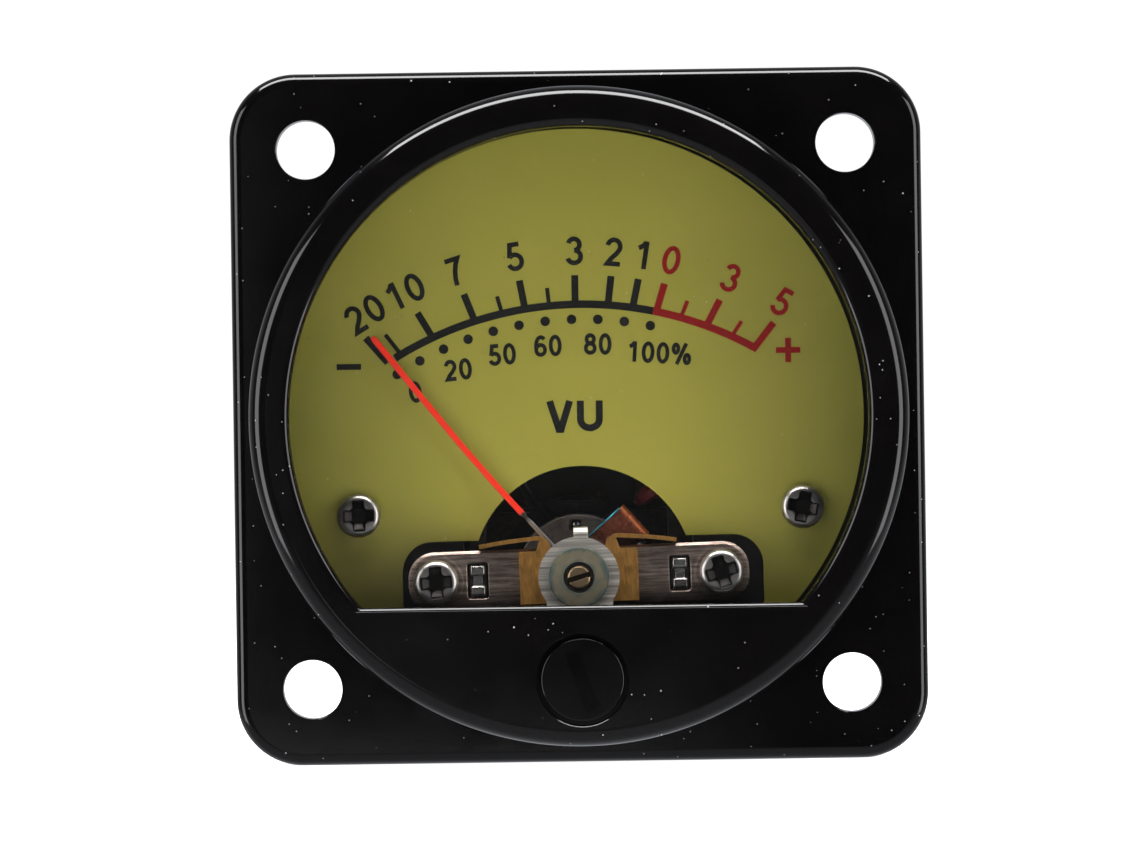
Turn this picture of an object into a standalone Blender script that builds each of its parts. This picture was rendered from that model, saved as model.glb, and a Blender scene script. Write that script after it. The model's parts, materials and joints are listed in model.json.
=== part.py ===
"""Moving-coil VU panel meter: flanged front cover, round rear case, backlit dial and pivoted movement.

Lengths are in millimetres and become metres in the mesh and placement helpers. Every part is drawn
in face coordinates: x to the right, y up, z towards the viewer, with z = 0 on the flange's rear face.
The FACE empty turns them into world coordinates, where the face looks along -Y and +Z is up.
"""

import math

import bmesh
import bpy

MM = 0.001
FIT = 0.15  # gap left between pieces that touch

# Front cover
FLANGE_SIDE = 45.0
FLANGE_CORNER = 4.3
FLANGE_THICK = 2.5
FLANGE_EDGE = 0.6  # front edge chamfer
HOLE_PITCH = 35.1
HOLE_RADIUS = 1.92
RING_BASE_RADIUS = 21.4
RING_FRONT_RADIUS = 20.6
COVER_FRONT = 8.0
CAVITY_RADIUS = 19.9
CAVITY_TOP = 5.7
LENS_SEAT = 6.8
LENS_SEAT_RADIUS = 19.6
LENS_FLAT = -13.6
LENS_THICK = 0.9
WINDOW_RADIUS = 18.95
WINDOW_FLAT = -12.2
WINDOW_BEVEL = 0.5

# Rear case
CASE_RADIUS = 19.0
CASE_INNER = 17.8
CASE_BACK = -21.0
CASE_FLOOR = -19.5

# Dial
DIAL_RADIUS = 18.7
DIAL_FRONT = 2.0
DIAL_REAR = 1.2
DIAL_TILT = 0.4
DIAL_SCREW_X = 14.45
DIAL_SCREW_Y = -6.2
CUTOUT_HALF = 11.75
CUTOUT_TOP = 2.5
CUTOUT_BOTTOM = -4.9
CUTOUT_SHIFT = 0.28
HUMP_RADIUS = 7.2

# Movement: positions in its own frame are measured from the pivot
PIVOT = (-0.14, -10.44)
MOVEMENT_TILT = 1.45
BRIDGE_REAR = 3.4
BRIDGE_THICK = 0.8
BRIDGE_HALF_LENGTH = 11.05
BRIDGE_HALF_HEIGHT = 1.95
BRIDGE_SCREW_X = 9.25
YOKE_X = 6.55
YOKE_THICK = 1.2
YOKE_HALF_HEIGHT = 4.2
YOKE_BACK = -10.6
CARRIER_TOP = 1.0
CARRIER_BOTTOM = -1.6
CORE_RADIUS = 4.05
CORE_FRONT = 0.8
CORE_REAR = -6.2
COIL_WIDTH = 2.7
COIL_REACH = 5.35
COIL_SET = 88.0  # angle from the pointer round to the coil
POINTER_REST = 40.0
POINTER_LENGTH = 20.6
POINTER_WIDTH = 0.4
HUB_Z = (2.4, 2.8)
STOP_Z = (4.35, 4.6)
ARM_Z = (4.75, 5.0)
WASHER_Z = (5.1, 5.3)
JEWEL_SCREW_RADIUS = 0.75
SPRING_WIRE = 0.06

# Zero adjuster
ZERO_SCREW = (0.0, -17.0)
ZERO_HEAD_RADIUS = 2.7
ZERO_RECESS_RADIUS = 3.0
ZERO_RECESS_FLOOR = 6.9
ZERO_SHAFT_RADIUS = 1.2
ZERO_PIN_OFFSET = 0.6
ZERO_PIN_RADIUS = 0.4
ZERO_SLOT_TILT = 19.0

# Backlight board and terminals
BOARD_CENTRE = (0.0, -2.0)
BOARD_RADIUS = 12.9
BOARD_FRONT = -11.6
BOARD_REAR = -12.8
BOARD_SCREW = (7.5, 6.5)
LAMP_PIN = (2.54, 8.6)
LAMP_PIN_RADIUS = 0.45
STUD_POSITION = (7.6, -2.0)
STUD_RADIUS = 1.5

FACE_TURN = math.radians(90)


# ---------------------------------------------------------------- scene and materials

def clear_scene():
    for obj in list(bpy.data.objects):
        bpy.data.objects.remove(obj, do_unlink=True)


def new_collection(name):
    made = bpy.data.collections.new(name)
    bpy.context.scene.collection.children.link(made)
    return made


clear_scene()
PARTS = new_collection("vu_panel_meter")
CUTTERS = new_collection("cutters")


def new_empty(name, parent=None, place=(0, 0), turn_x=0.0, turn_z=0.0):
    empty = bpy.data.objects.new(name, None)
    empty.location = (place[0] * MM, place[1] * MM, 0)
    empty.rotation_euler = (turn_x, 0, math.radians(turn_z))
    empty.parent = parent
    PARTS.objects.link(empty)
    return empty


FACE = new_empty("face", turn_x=FACE_TURN)
DIAL = new_empty("dial_frame", FACE, turn_z=DIAL_TILT)
MOVEMENT = new_empty("movement_frame", FACE, PIVOT, turn_z=MOVEMENT_TILT)
SWING = new_empty("pointer_axis", FACE, PIVOT, turn_z=POINTER_REST)
ZERO = new_empty("zero_screw_axis", FACE, ZERO_SCREW)


def new_material(name, colour, roughness, metallic=0.0, transmission=0.0):
    made = bpy.data.materials.new(name)
    made.use_nodes = True
    shader = made.node_tree.nodes["Principled BSDF"]
    shader.inputs["Base Color"].default_value = (*colour, 1.0)
    shader.inputs["Roughness"].default_value = roughness
    shader.inputs["Metallic"].default_value = metallic
    shader.inputs["Transmission Weight"].default_value = transmission
    return made


FINISHES = {
    "black_gloss": ((0.006, 0.006, 0.007), 0.12, 0.0, 0.0),
    "black_moulding": ((0.012, 0.012, 0.013), 0.4, 0.0, 0.0),
    "clear": ((0.95, 0.97, 0.96), 0.03, 0.0, 0.95),
    "dial": ((0.27, 0.26, 0.06), 0.45, 0.0, 0.1),
    "nickel": ((0.45, 0.43, 0.41), 0.28, 1.0, 0.0),
    "brushed": ((0.6, 0.6, 0.6), 0.35, 1.0, 0.0),
    "soft_iron": ((0.2, 0.19, 0.18), 0.45, 1.0, 0.0),
    "magnet": ((0.16, 0.15, 0.14), 0.5, 0.8, 0.0),
    "brass": ((0.5, 0.33, 0.1), 0.3, 1.0, 0.0),
    "blued_steel": ((0.03, 0.03, 0.035), 0.35, 0.9, 0.0),
    "fibre": ((0.36, 0.32, 0.2), 0.6, 0.0, 0.0),
    "ruby": ((0.45, 0.02, 0.05), 0.1, 0.0, 0.4),
    "needle_red": ((0.8, 0.03, 0.01), 0.35, 0.0, 0.0),
    "aluminium": ((0.7, 0.7, 0.7), 0.4, 1.0, 0.0),
    "enamelled_wire": ((0.35, 0.09, 0.03), 0.3, 0.6, 0.0),
    "bronze": ((0.4, 0.22, 0.08), 0.35, 1.0, 0.0),
    "board_green": ((0.01, 0.05, 0.02), 0.4, 0.0, 0.0),
    "phosphor": ((0.75, 0.6, 0.12), 0.4, 0.0, 0.0),
    "component_black": ((0.015, 0.015, 0.016), 0.5, 0.0, 0.0),
    "tinned": ((0.6, 0.6, 0.58), 0.35, 1.0, 0.0),
    "wire_red": ((0.4, 0.01, 0.01), 0.4, 0.0, 0.0),
    "wire_black": ((0.01, 0.01, 0.01), 0.4, 0.0, 0.0),
}


# ---------------------------------------------------------------- outlines, in millimetres

def arc(centre, radius, start, end, count):
    """Points on an arc, both ends included. Angles are in degrees, counter-clockwise from +x."""
    points = []
    for i in range(count + 1):
        angle = math.radians(start + (end - start) * i / count)
        points.append((centre[0] + radius * math.cos(angle), centre[1] + radius * math.sin(angle)))
    return points


def circle(radius, centre=(0, 0), count=48):
    return arc(centre, radius, 0, 360, count)[:-1]


def rounded(corners, steps=5):
    """A polygon of (x, y, radius) corners with each corner turned into an arc of that radius."""
    points = []
    for i, (x, y, radius) in enumerate(corners):
        if radius == 0:
            points.append((x, y))
            continue
        before = corners[i - 1]
        after = corners[(i + 1) % len(corners)]
        to_before = math.atan2(before[1] - y, before[0] - x)
        to_after = math.atan2(after[1] - y, after[0] - x)
        turn = (to_after - to_before + math.pi) % (2 * math.pi) - math.pi
        reach = radius / math.tan(abs(turn) / 2)
        middle = to_before + turn / 2
        away = radius / math.sin(abs(turn) / 2)
        centre = (x + away * math.cos(middle), y + away * math.sin(middle))
        first = (x + reach * math.cos(to_before), y + reach * math.sin(to_before))
        start = math.atan2(first[1] - centre[1], first[0] - centre[0])
        sweep = math.copysign(math.pi - abs(turn), -turn)
        for k in range(steps + 1):
            angle = start + sweep * k / steps
            points.append((centre[0] + radius * math.cos(angle), centre[1] + radius * math.sin(angle)))
    return points


def rounded_box(half_x, half_y, radius, centre=(0, 0), steps=5):
    x, y = centre
    corners = [(x + half_x, y - half_y), (x + half_x, y + half_y),
               (x - half_x, y + half_y), (x - half_x, y - half_y)]
    return rounded([(*corner, radius) for corner in corners], steps)


def d_outline(radius, flat_y, count=60):
    """A circle cut off below the line y = flat_y."""
    edge = math.degrees(math.asin(flat_y / radius))
    return arc((0, 0), radius, edge, 180 - edge, count)


def mirrored(points):
    return [(-x, y) for x, y in points]


# ---------------------------------------------------------------- solids

def place(obj, frame, z=0.0, spot=(0, 0)):
    obj.parent = frame
    obj.location = (spot[0] * MM, spot[1] * MM, z * MM)
    return obj


def link(obj):
    PARTS.objects.link(obj)
    return obj


def mesh_object(name, bm, frame, spot=(0, 0)):
    mesh = bpy.data.meshes.new(name)
    bm.to_mesh(mesh)
    bm.free()
    return place(link(bpy.data.objects.new(name, mesh)), frame, 0.0, spot)


def plate(name, outlines, low, high, frame=FACE):
    """A flat sheet between two heights; the outlines after the first are its holes."""
    curve = bpy.data.curves.new(name, "CURVE")
    curve.dimensions = "2D"
    curve.fill_mode = "BOTH"
    curve.extrude = (high - low) / 2 * MM
    for outline in outlines:
        spline = curve.splines.new("POLY")
        spline.points.add(len(outline) - 1)
        for point, (x, y) in zip(spline.points, outline):
            point.co = (x * MM, y * MM, 0, 1)
        spline.use_cyclic_u = True
    return place(link(bpy.data.objects.new(name, curve)), frame, (low + high) / 2)


def solid(curve_object):
    """The same shape as a welded mesh, so that it can be cut and joined."""
    bpy.context.view_layer.update()
    evaluated = curve_object.evaluated_get(bpy.context.evaluated_depsgraph_get())
    mesh = bpy.data.meshes.new_from_object(evaluated)
    bm = bmesh.new()
    bm.from_mesh(mesh)
    bmesh.ops.remove_doubles(bm, verts=bm.verts, dist=1e-7)
    bmesh.ops.recalc_face_normals(bm, faces=bm.faces)
    if bm.calc_volume(signed=True) < 0:
        bmesh.ops.reverse_faces(bm, faces=bm.faces)
    bm.to_mesh(mesh)
    bm.free()
    name = curve_object.name
    curve_object.name = name + "_curve"
    made = link(bpy.data.objects.new(name, mesh))
    made.parent = curve_object.parent
    made.matrix_world = curve_object.matrix_world
    bpy.data.objects.remove(curve_object)
    return made


def turned(name, profile, frame=FACE, spot=(0, 0), segments=24):
    """A turned piece about z. The (radius, height) profile runs down its outer side."""
    bm = bmesh.new()
    verts = [bm.verts.new((radius * MM, 0, height * MM)) for radius, height in profile]
    for first, second in zip(verts, verts[1:]):
        bm.edges.new((first, second))
    if profile[0][0] > 0:
        bm.edges.new((verts[-1], verts[0]))
    obj = mesh_object(name, bm, frame, spot)
    screw = obj.modifiers.new("turn", "SCREW")
    screw.axis = "Z"
    screw.angle = math.tau
    screw.steps = segments
    screw.render_steps = segments
    screw.use_merge_vertices = True
    screw.merge_threshold = 1e-5
    screw.use_smooth_shade = False
    return obj


def cylinder(name, radius, low, high, frame=FACE, spot=(0, 0), segments=24):
    profile = [(0, high), (radius, high), (radius, low), (0, low)]
    return turned(name, profile, frame, spot, segments)


def block(name, low, high, frame=FACE, bevel=0.0):
    """A box between two corners, with an optional edge bevel."""
    bm = bmesh.new()
    bmesh.ops.create_cube(bm, size=1.0)
    size = [(b - a) * MM for a, b in zip(low, high)]
    middle = [(a + b) / 2 * MM for a, b in zip(low, high)]
    bmesh.ops.scale(bm, vec=size, verts=bm.verts)
    bmesh.ops.translate(bm, vec=middle, verts=bm.verts)
    obj = mesh_object(name, bm, frame)
    if bevel:
        edge = obj.modifiers.new("edge", "BEVEL")
        edge.width = bevel * MM
        edge.segments = 2
    return obj


def loft(name, sections, frame=FACE):
    """A closed solid through (outline, height) sections with equal point counts, bottom first."""
    bm = bmesh.new()
    loops = []
    for outline, height in sections:
        loops.append([bm.verts.new((x * MM, y * MM, height * MM)) for x, y in outline])
    bm.faces.new(reversed(loops[0]))
    bm.faces.new(loops[-1])
    for lower, upper in zip(loops, loops[1:]):
        for i in range(len(lower)):
            k = (i + 1) % len(lower)
            bm.faces.new((lower[i], lower[k], upper[k], upper[i]))
    bmesh.ops.recalc_face_normals(bm, faces=bm.faces)
    return mesh_object(name, bm, frame)


def wire(name, points, radius, frame=FACE, resolution=1):
    """A round wire along (x, y, z) points."""
    curve = bpy.data.curves.new(name, "CURVE")
    curve.dimensions = "3D"
    curve.bevel_depth = radius * MM
    curve.bevel_resolution = resolution
    curve.use_fill_caps = True
    spline = curve.splines.new("POLY")
    spline.points.add(len(points) - 1)
    for point, (x, y, z) in zip(spline.points, points):
        point.co = (x * MM, y * MM, z * MM, 1)
    return place(link(bpy.data.objects.new(name, curve)), frame)


def smooth_route(stops, steps=5):
    """Catmull-Rom points through the stops."""
    padded = [stops[0], *stops, stops[-1]]
    points = []
    for a, b, c, d in zip(padded, padded[1:], padded[2:], padded[3:]):
        for i in range(steps):
            t = i / steps
            points.append(tuple(
                0.5 * (2 * q + (r - p) * t + (2 * p - 5 * q + 4 * r - s) * t * t
                       + (3 * q - p - 3 * r + s) * t ** 3)
                for p, q, r, s in zip(a, b, c, d)))
    points.append(stops[-1])
    return points


def combine(obj, other, operation):
    for used in list(other.users_collection):
        used.objects.unlink(other)
    CUTTERS.objects.link(other)
    other.hide_render = True
    other.display_type = "WIRE"
    other.name = f"{obj.name}_{operation.lower()}_{len(obj.modifiers)}"
    boolean = obj.modifiers.new(operation.lower(), "BOOLEAN")
    boolean.operation = operation
    boolean.solver = "EXACT"
    boolean.object = other


def cut(obj, *cutters):
    for cutter in cutters:
        combine(obj, cutter, "DIFFERENCE")
    return obj


def join(obj, *others):
    for other in others:
        combine(obj, other, "UNION")
    return obj


def finish(obj, finish_name):
    colour, roughness, metallic, transmission = FINISHES[finish_name]
    obj.data.materials.append(new_material(obj.name, colour, roughness, metallic, transmission))
    return obj


def pan_screw(name, head_radius, head_rear, shank_radius, shank_end, frame, spot, segments=16):
    """A cross-recessed pan head screw seen head on."""
    top = head_rear + 0.9
    profile = [
        (0, top),
        (head_radius * 0.7, top - 0.06),
        (head_radius * 0.9, top - 0.22),
        (head_radius, top - 0.55),
        (head_radius, head_rear),
        (shank_radius, head_rear),
        (shank_radius, shank_end + 0.3),
        (shank_radius * 0.6, shank_end),
        (0, shank_end),
    ]
    screw = turned(name, profile, frame, spot, segments)
    arm, half = head_radius * 0.58, head_radius * 0.19
    cross = [(arm, -half), (arm, half), (half, half), (half, arm), (-half, arm), (-half, half),
             (-arm, half), (-arm, -half), (-half, -half), (-half, -arm), (half, -arm), (half, -half)]
    around = [(x + spot[0], y + spot[1]) for x, y in cross]
    cut(screw, loft(name + "_recess", [(around, top - 0.5), (around, top + 0.5)], frame))
    return finish(screw, "nickel")


# ---------------------------------------------------------------- housing

def make_front_cover():
    base = rounded_box(FLANGE_SIDE / 2, FLANGE_SIDE / 2, FLANGE_CORNER)
    inset = FLANGE_SIDE / 2 - FLANGE_EDGE
    top = rounded_box(inset, inset, FLANGE_CORNER - FLANGE_EDGE)
    cover = loft("front_cover", [(base, 0), (base, FLANGE_THICK - FLANGE_EDGE), (top, FLANGE_THICK)])
    shoulder = COVER_FRONT - 0.6
    ring = [(0, COVER_FRONT), (RING_FRONT_RADIUS, COVER_FRONT), (RING_FRONT_RADIUS + 0.5, shoulder),
            (RING_BASE_RADIUS, FLANGE_THICK - 0.5), (0, FLANGE_THICK - 0.5)]
    join(cover, turned("ring", ring, segments=64))
    cut(cover, cylinder("cavity", CAVITY_RADIUS, -1, CAVITY_TOP, segments=64))
    seat = d_outline(LENS_SEAT_RADIUS, LENS_FLAT - 0.2)
    cut(cover, loft("lens_seat", [(seat, CAVITY_TOP - 0.5), (seat, LENS_SEAT)]))
    narrow = d_outline(WINDOW_RADIUS, WINDOW_FLAT)
    wide = d_outline(WINDOW_RADIUS + WINDOW_BEVEL, WINDOW_FLAT - WINDOW_BEVEL * 0.6)
    reach = 1.0
    wider = d_outline(WINDOW_RADIUS + WINDOW_BEVEL * 2, WINDOW_FLAT - WINDOW_BEVEL * 1.2)
    cut(cover, loft("window", [(narrow, LENS_SEAT - 0.5), (narrow, COVER_FRONT - reach),
                               (wide, COVER_FRONT), (wider, COVER_FRONT + reach)]))
    shaft_hole = ZERO_SHAFT_RADIUS + FIT
    recess = [(0, COVER_FRONT + 1), (ZERO_RECESS_RADIUS, COVER_FRONT + 1), (ZERO_RECESS_RADIUS, ZERO_RECESS_FLOOR),
              (shaft_hole, ZERO_RECESS_FLOOR), (shaft_hole, CAVITY_TOP - 1), (0, CAVITY_TOP - 1)]
    cut(cover, turned("recess", recess, FACE, ZERO_SCREW, 32))
    for side_x in (-1, 1):
        for side_y in (-1, 1):
            spot = (side_x * HOLE_PITCH / 2, side_y * HOLE_PITCH / 2)
            cut(cover, cylinder("hole", HOLE_RADIUS, -1, FLANGE_THICK + 1, spot=spot))
    finish(cover, "black_gloss")


def make_window_lens():
    outline = d_outline(LENS_SEAT_RADIUS - FIT, LENS_FLAT)
    top = LENS_SEAT - FIT
    finish(plate("window_lens", [outline], top - LENS_THICK, top), "clear")


def make_rear_case():
    rim = 0.9
    profile = [(0, CASE_FLOOR), (CASE_INNER, CASE_FLOOR), (CASE_INNER, rim), (CAVITY_RADIUS - 0.2, rim),
               (CAVITY_RADIUS - 0.2, 0.1), (CASE_RADIUS, 0.1), (CASE_RADIUS, CASE_BACK + 0.8),
               (CASE_RADIUS - 0.8, CASE_BACK), (0, CASE_BACK)]
    case = turned("rear_case", profile, segments=56)
    for side in (-1, 1):
        dial_spot = (side * DIAL_SCREW_X, DIAL_SCREW_Y)
        board_spot = (side * BOARD_SCREW[0], BOARD_SCREW[1])
        join(case, cylinder("dial_post", 1.9, CASE_FLOOR - 0.5, CARRIER_BOTTOM - FIT, spot=dial_spot))
        join(case, cylinder("board_post", 1.5, CASE_FLOOR - 0.5, BOARD_REAR - FIT, spot=board_spot, segments=16))
        cut(case, cylinder("dial_thread", 0.85, -8, 2, spot=dial_spot, segments=16))
        cut(case, cylinder("board_thread", 0.65, -17, -12, spot=board_spot, segments=12))
        stud_spot = (side * STUD_POSITION[0], STUD_POSITION[1])
        pin_spot = (side * LAMP_PIN[0], LAMP_PIN[1])
        cut(case, cylinder("stud_hole", STUD_RADIUS + FIT, CASE_BACK - 1, CASE_FLOOR + 1, spot=stud_spot))
        cut(case, cylinder("pin_hole", LAMP_PIN_RADIUS + 0.2, CASE_BACK - 1, CASE_FLOOR + 1,
                           spot=pin_spot, segments=12))
    finish(case, "black_moulding")


# ---------------------------------------------------------------- dial and carrier

def make_dial():
    turn = math.radians(MOVEMENT_TILT / 2 - DIAL_TILT)
    rise = math.degrees(math.asin(CUTOUT_TOP / HUMP_RADIUS))
    hump = arc((0, 0), HUMP_RADIUS, rise, 180 - rise, 24)
    right = rounded([(CUTOUT_HALF - 3, CUTOUT_BOTTOM, 0), (CUTOUT_HALF, CUTOUT_BOTTOM, 1.0),
                     (CUTOUT_HALF, CUTOUT_TOP, 2.0), (CUTOUT_HALF - 3, CUTOUT_TOP, 0)])
    left = list(reversed(mirrored(right)))
    cutout = []
    for x, y in right + hump + left:
        around_x = PIVOT[0] + CUTOUT_SHIFT + x * math.cos(turn) - y * math.sin(turn)
        around_y = PIVOT[1] + x * math.sin(turn) + y * math.cos(turn)
        cutout.append((around_x, around_y))
    holes = [circle(0.95, (side * DIAL_SCREW_X, DIAL_SCREW_Y), 16) for side in (-1, 1)]
    outline = circle(DIAL_RADIUS, count=72)
    finish(solid(plate("dial_plate", [outline, cutout, *holes], DIAL_REAR, DIAL_FRONT, DIAL)), "dial")
    for side, word in ((-1, "left"), (1, "right")):
        spot = (side * DIAL_SCREW_X, DIAL_SCREW_Y)
        pan_screw("dial_screw_" + word, 1.42, DIAL_FRONT + 0.1, 0.7, -6.5, DIAL, spot)


def make_carrier():
    """The black moulding that ties the movement to the dial posts, arched over the dial's cut-out."""
    ear_x, ear_y = DIAL_SCREW_X, DIAL_SCREW_Y - PIVOT[1]
    inner = arc((0, 0), 8.0, 159.5, 20.5, 20)
    half = [(8.5, 10.2, 4.0), (ear_x + 1.4, ear_y + 1.7, 1.5), (ear_x + 1.4, ear_y - 1.4, 1.5),
            (11.3, -2.6, 1.5), (7.5, -2.6, 0)]
    other_half = [(-x, y, radius) for x, y, radius in reversed(half)]
    outer = rounded(other_half + half)
    ears = [circle(0.95, (side * ear_x, ear_y), 16) for side in (-1, 1)]
    carrier = solid(plate("movement_carrier", [list(reversed(inner)) + outer, *ears],
                          CARRIER_BOTTOM, CARRIER_TOP, FACE))
    carrier.location[0] += PIVOT[0] * MM
    carrier.location[1] += PIVOT[1] * MM
    for side in (-1, 1):
        spot = (side * BRIDGE_SCREW_X, 0)
        join(carrier, cylinder("boss", 1.65, CARRIER_TOP - 0.3, BRIDGE_REAR - FIT, MOVEMENT, spot))
        cut(carrier, cylinder("thread", 0.75, CARRIER_BOTTOM - 1, BRIDGE_REAR + 1, MOVEMENT, spot, 16))
    finish(carrier, "black_moulding")


# ---------------------------------------------------------------- fixed movement parts

def make_front_bridge():
    top = BRIDGE_REAR + BRIDGE_THICK
    outline = rounded_box(BRIDGE_HALF_LENGTH, BRIDGE_HALF_HEIGHT, 1.6)
    holes = [circle(JEWEL_SCREW_RADIUS + 0.1, count=20)]
    for side in (-1, 1):
        holes.append(circle(0.75, (side * BRIDGE_SCREW_X, 0), 16))
        holes.append(rounded_box(YOKE_THICK / 2 + 0.12, 1.25, 0.15, (side * YOKE_X, 0), 2))
    finish(solid(plate("front_bridge", [outline, *holes], BRIDGE_REAR, top, MOVEMENT)), "nickel")
    for side, word in ((-1, "left"), (1, "right")):
        spot = (side * BRIDGE_SCREW_X, 0)
        pan_screw("bridge_screw_" + word, 1.45, top + 0.1, 0.65, -1.4, MOVEMENT, spot)


def make_yoke():
    """Two soft-iron side plates with staked tenons, joined by a back plate."""
    back = loft("yoke", [(rounded_box(YOKE_X + YOKE_THICK / 2, YOKE_HALF_HEIGHT, 0.4, steps=2), YOKE_BACK),
                         (rounded_box(YOKE_X + YOKE_THICK / 2, YOKE_HALF_HEIGHT, 0.4, steps=2),
                          YOKE_BACK + YOKE_THICK)], MOVEMENT)
    bottom = YOKE_BACK + 0.3
    half = YOKE_HALF_HEIGHT - 0.1
    neck, tenon, shoulder = 1.85, 1.1, BRIDGE_REAR - FIT
    side_plate = [(half, bottom), (half, CARRIER_BOTTOM - 0.6), (neck, CARRIER_BOTTOM - 0.2), (neck, shoulder),
                  (tenon, shoulder), (tenon, BRIDGE_REAR + BRIDGE_THICK + 0.12)]
    outline = side_plate + list(reversed(mirrored(side_plate)))
    for side in (-1, 1):
        wall = solid(plate("wall", [outline], -YOKE_THICK / 2 + 0.05, YOKE_THICK / 2 - 0.05, MOVEMENT))
        wall.rotation_euler = (math.radians(90), 0, math.radians(90))
        wall.location = (side * YOKE_X * MM, 0, 0)
        join(back, wall)
    cut(back, cylinder("rear_jewel_hole", JEWEL_SCREW_RADIUS + 0.1, YOKE_BACK - 1, YOKE_BACK + 2, MOVEMENT))
    finish(back, "soft_iron")


def make_core():
    edge = 0.15
    profile = [(0, CORE_FRONT), (CORE_RADIUS - edge, CORE_FRONT), (CORE_RADIUS, CORE_FRONT - edge),
               (CORE_RADIUS, CORE_REAR + edge), (CORE_RADIUS - edge, CORE_REAR), (0, CORE_REAR)]
    core = turned("core_magnet", profile, MOVEMENT, segments=48)
    cut(core, cylinder("locating_dimple", 0.42, CORE_FRONT - 0.6, CORE_FRONT + 1, MOVEMENT, (-0.05, 3.3), 12))
    finish(core, "magnet")
    ring_low, ring_high = YOKE_BACK + YOKE_THICK + 0.1, YOKE_BACK + YOKE_THICK + 0.5
    inner, outer = 3.2, 5.2
    bracket = solid(plate("core_bracket", [circle(outer, count=36), circle(inner, count=24)],
                          ring_low, ring_high, MOVEMENT))
    tab_low, tab_high = CORE_RADIUS + FIT, CORE_RADIUS + 0.85
    for side in (-1, 1):
        near, far = sorted((side * tab_low, side * tab_high))
        join(bracket, block("tab", (-1.2, near, ring_low + 0.1), (1.2, far, -3.5), MOVEMENT))
    finish(bracket, "brass")


def make_stop_plate():
    """Brass plate on the bridge; two thin arms are bent back into the pointer's plane as its stops."""
    low, high = STOP_Z
    half_x, half_y, horn_x = 3.85, 1.75, 2.65
    horn = [(half_x, -half_y, 0), (half_x, half_y, 0), (horn_x + 0.7, half_y, 0.2), (horn_x + 0.35, 2.55, 0.0),
            (horn_x, 2.62, 0), (horn_x - 0.5, half_y, 0.2)]
    right = rounded(horn, 3)
    outline = right + list(reversed(mirrored(right)))
    stops = solid(plate("pointer_stop_plate", [outline, circle(1.25, count=24)], low, high, MOVEMENT))
    near, far, thick = (horn_x, 2.5), (6.4, 2.22), 0.24
    strip = [(near[0], near[1] - thick / 2), (far[0], far[1] - thick / 2),
             (far[0], far[1] + thick / 2), (near[0], near[1] + thick / 2)]
    for side in (1, -1):
        arm = strip if side > 0 else list(reversed(mirrored(strip)))
        join(stops, solid(plate("arm", [arm], 2.2, high - 0.05, MOVEMENT)))
    finish(stops, "brass")


def make_bearings():
    bush_top = WASHER_Z[1] - 0.1
    ring = [(0.86, bush_top), (1.05, bush_top), (1.05, BRIDGE_REAR + BRIDGE_THICK + 0.1),
            (0.86, BRIDGE_REAR + BRIDGE_THICK + 0.1)]
    finish(turned("adjuster_bush", ring, MOVEMENT), "blued_steel")
    washer = [(1.16, WASHER_Z[1]), (1.95, WASHER_Z[1]), (1.95, WASHER_Z[0]), (1.16, WASHER_Z[0])]
    finish(turned("insulating_washer", washer, MOVEMENT, segments=32), "fibre")
    radius = JEWEL_SCREW_RADIUS
    front_low, front_high = 3.3, 5.35
    cup = [(0, front_high), (radius - 0.08, front_high), (radius, front_high - 0.08), (radius, front_low),
           (0.5, front_low), (0.5, front_low + 0.45), (0, front_low + 0.45)]
    front = turned("jewel_screw_front", cup, MOVEMENT)
    slot = block("slot", (-1, -0.165, front_high - 0.35), (1, 0.165, front_high + 1), MOVEMENT)
    slot.rotation_euler[2] = math.radians(12)
    cut(front, slot)
    finish(front, "brass")
    rear_low, rear_high = -11.3, -8.75
    cup = [(0, rear_high - 0.45), (0.5, rear_high - 0.45), (0.5, rear_high), (radius, rear_high),
           (radius, rear_low + 0.08), (radius - 0.08, rear_low), (0, rear_low)]
    rear = turned("jewel_screw_rear", cup, MOVEMENT)
    cut(rear, block("slot", (-1, -0.165, rear_low - 1), (1, 0.165, rear_low + 0.35), MOVEMENT))
    finish(rear, "brass")
    stone = [(0, front_low + 0.2), (0.2, front_low), (0.42, front_low), (0.42, front_low + 0.38), (0, front_low + 0.38)]
    stone = list(reversed(stone))
    finish(turned("jewel_front", stone, MOVEMENT, segments=16), "ruby")
    stone = [(0, rear_high - 0.2), (0.2, rear_high), (0.42, rear_high), (0.42, rear_high - 0.38),
             (0, rear_high - 0.38)]
    finish(turned("jewel_rear", stone, MOVEMENT, segments=16), "ruby")
    anchor = block("rear_spring_anchor", (-0.3, 2.55, YOKE_BACK + YOKE_THICK + 0.1), (0.3, 2.85, -8.3), MOVEMENT)
    finish(anchor, "brass")


def spiral(inner, outer, turns, end_angle, height, count=14):
    """Points of a flat spiral that ends outside at end_angle, in degrees from +x."""
    points = []
    total = int(turns * count)
    for i in range(total + 1):
        share = i / total
        angle = math.radians(end_angle - 360 * turns * (1 - share))
        radius = inner + (outer - inner) * share
        points.append((radius * math.cos(angle), radius * math.sin(angle), height))
    return points


def make_hairsprings():
    front = spiral(0.75, 2.4, 3.0, 80, 3.08) + [(0.25, 2.8, 3.08), (0.05, 2.92, 3.08)]
    finish(wire("hairspring_front", front, SPRING_WIRE, MOVEMENT, 0), "bronze")
    rear = spiral(0.75, 2.4, 3.0, 90, -8.45)
    finish(wire("hairspring_rear", rear, SPRING_WIRE, MOVEMENT, 0), "bronze")


# ---------------------------------------------------------------- zero adjuster

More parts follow.
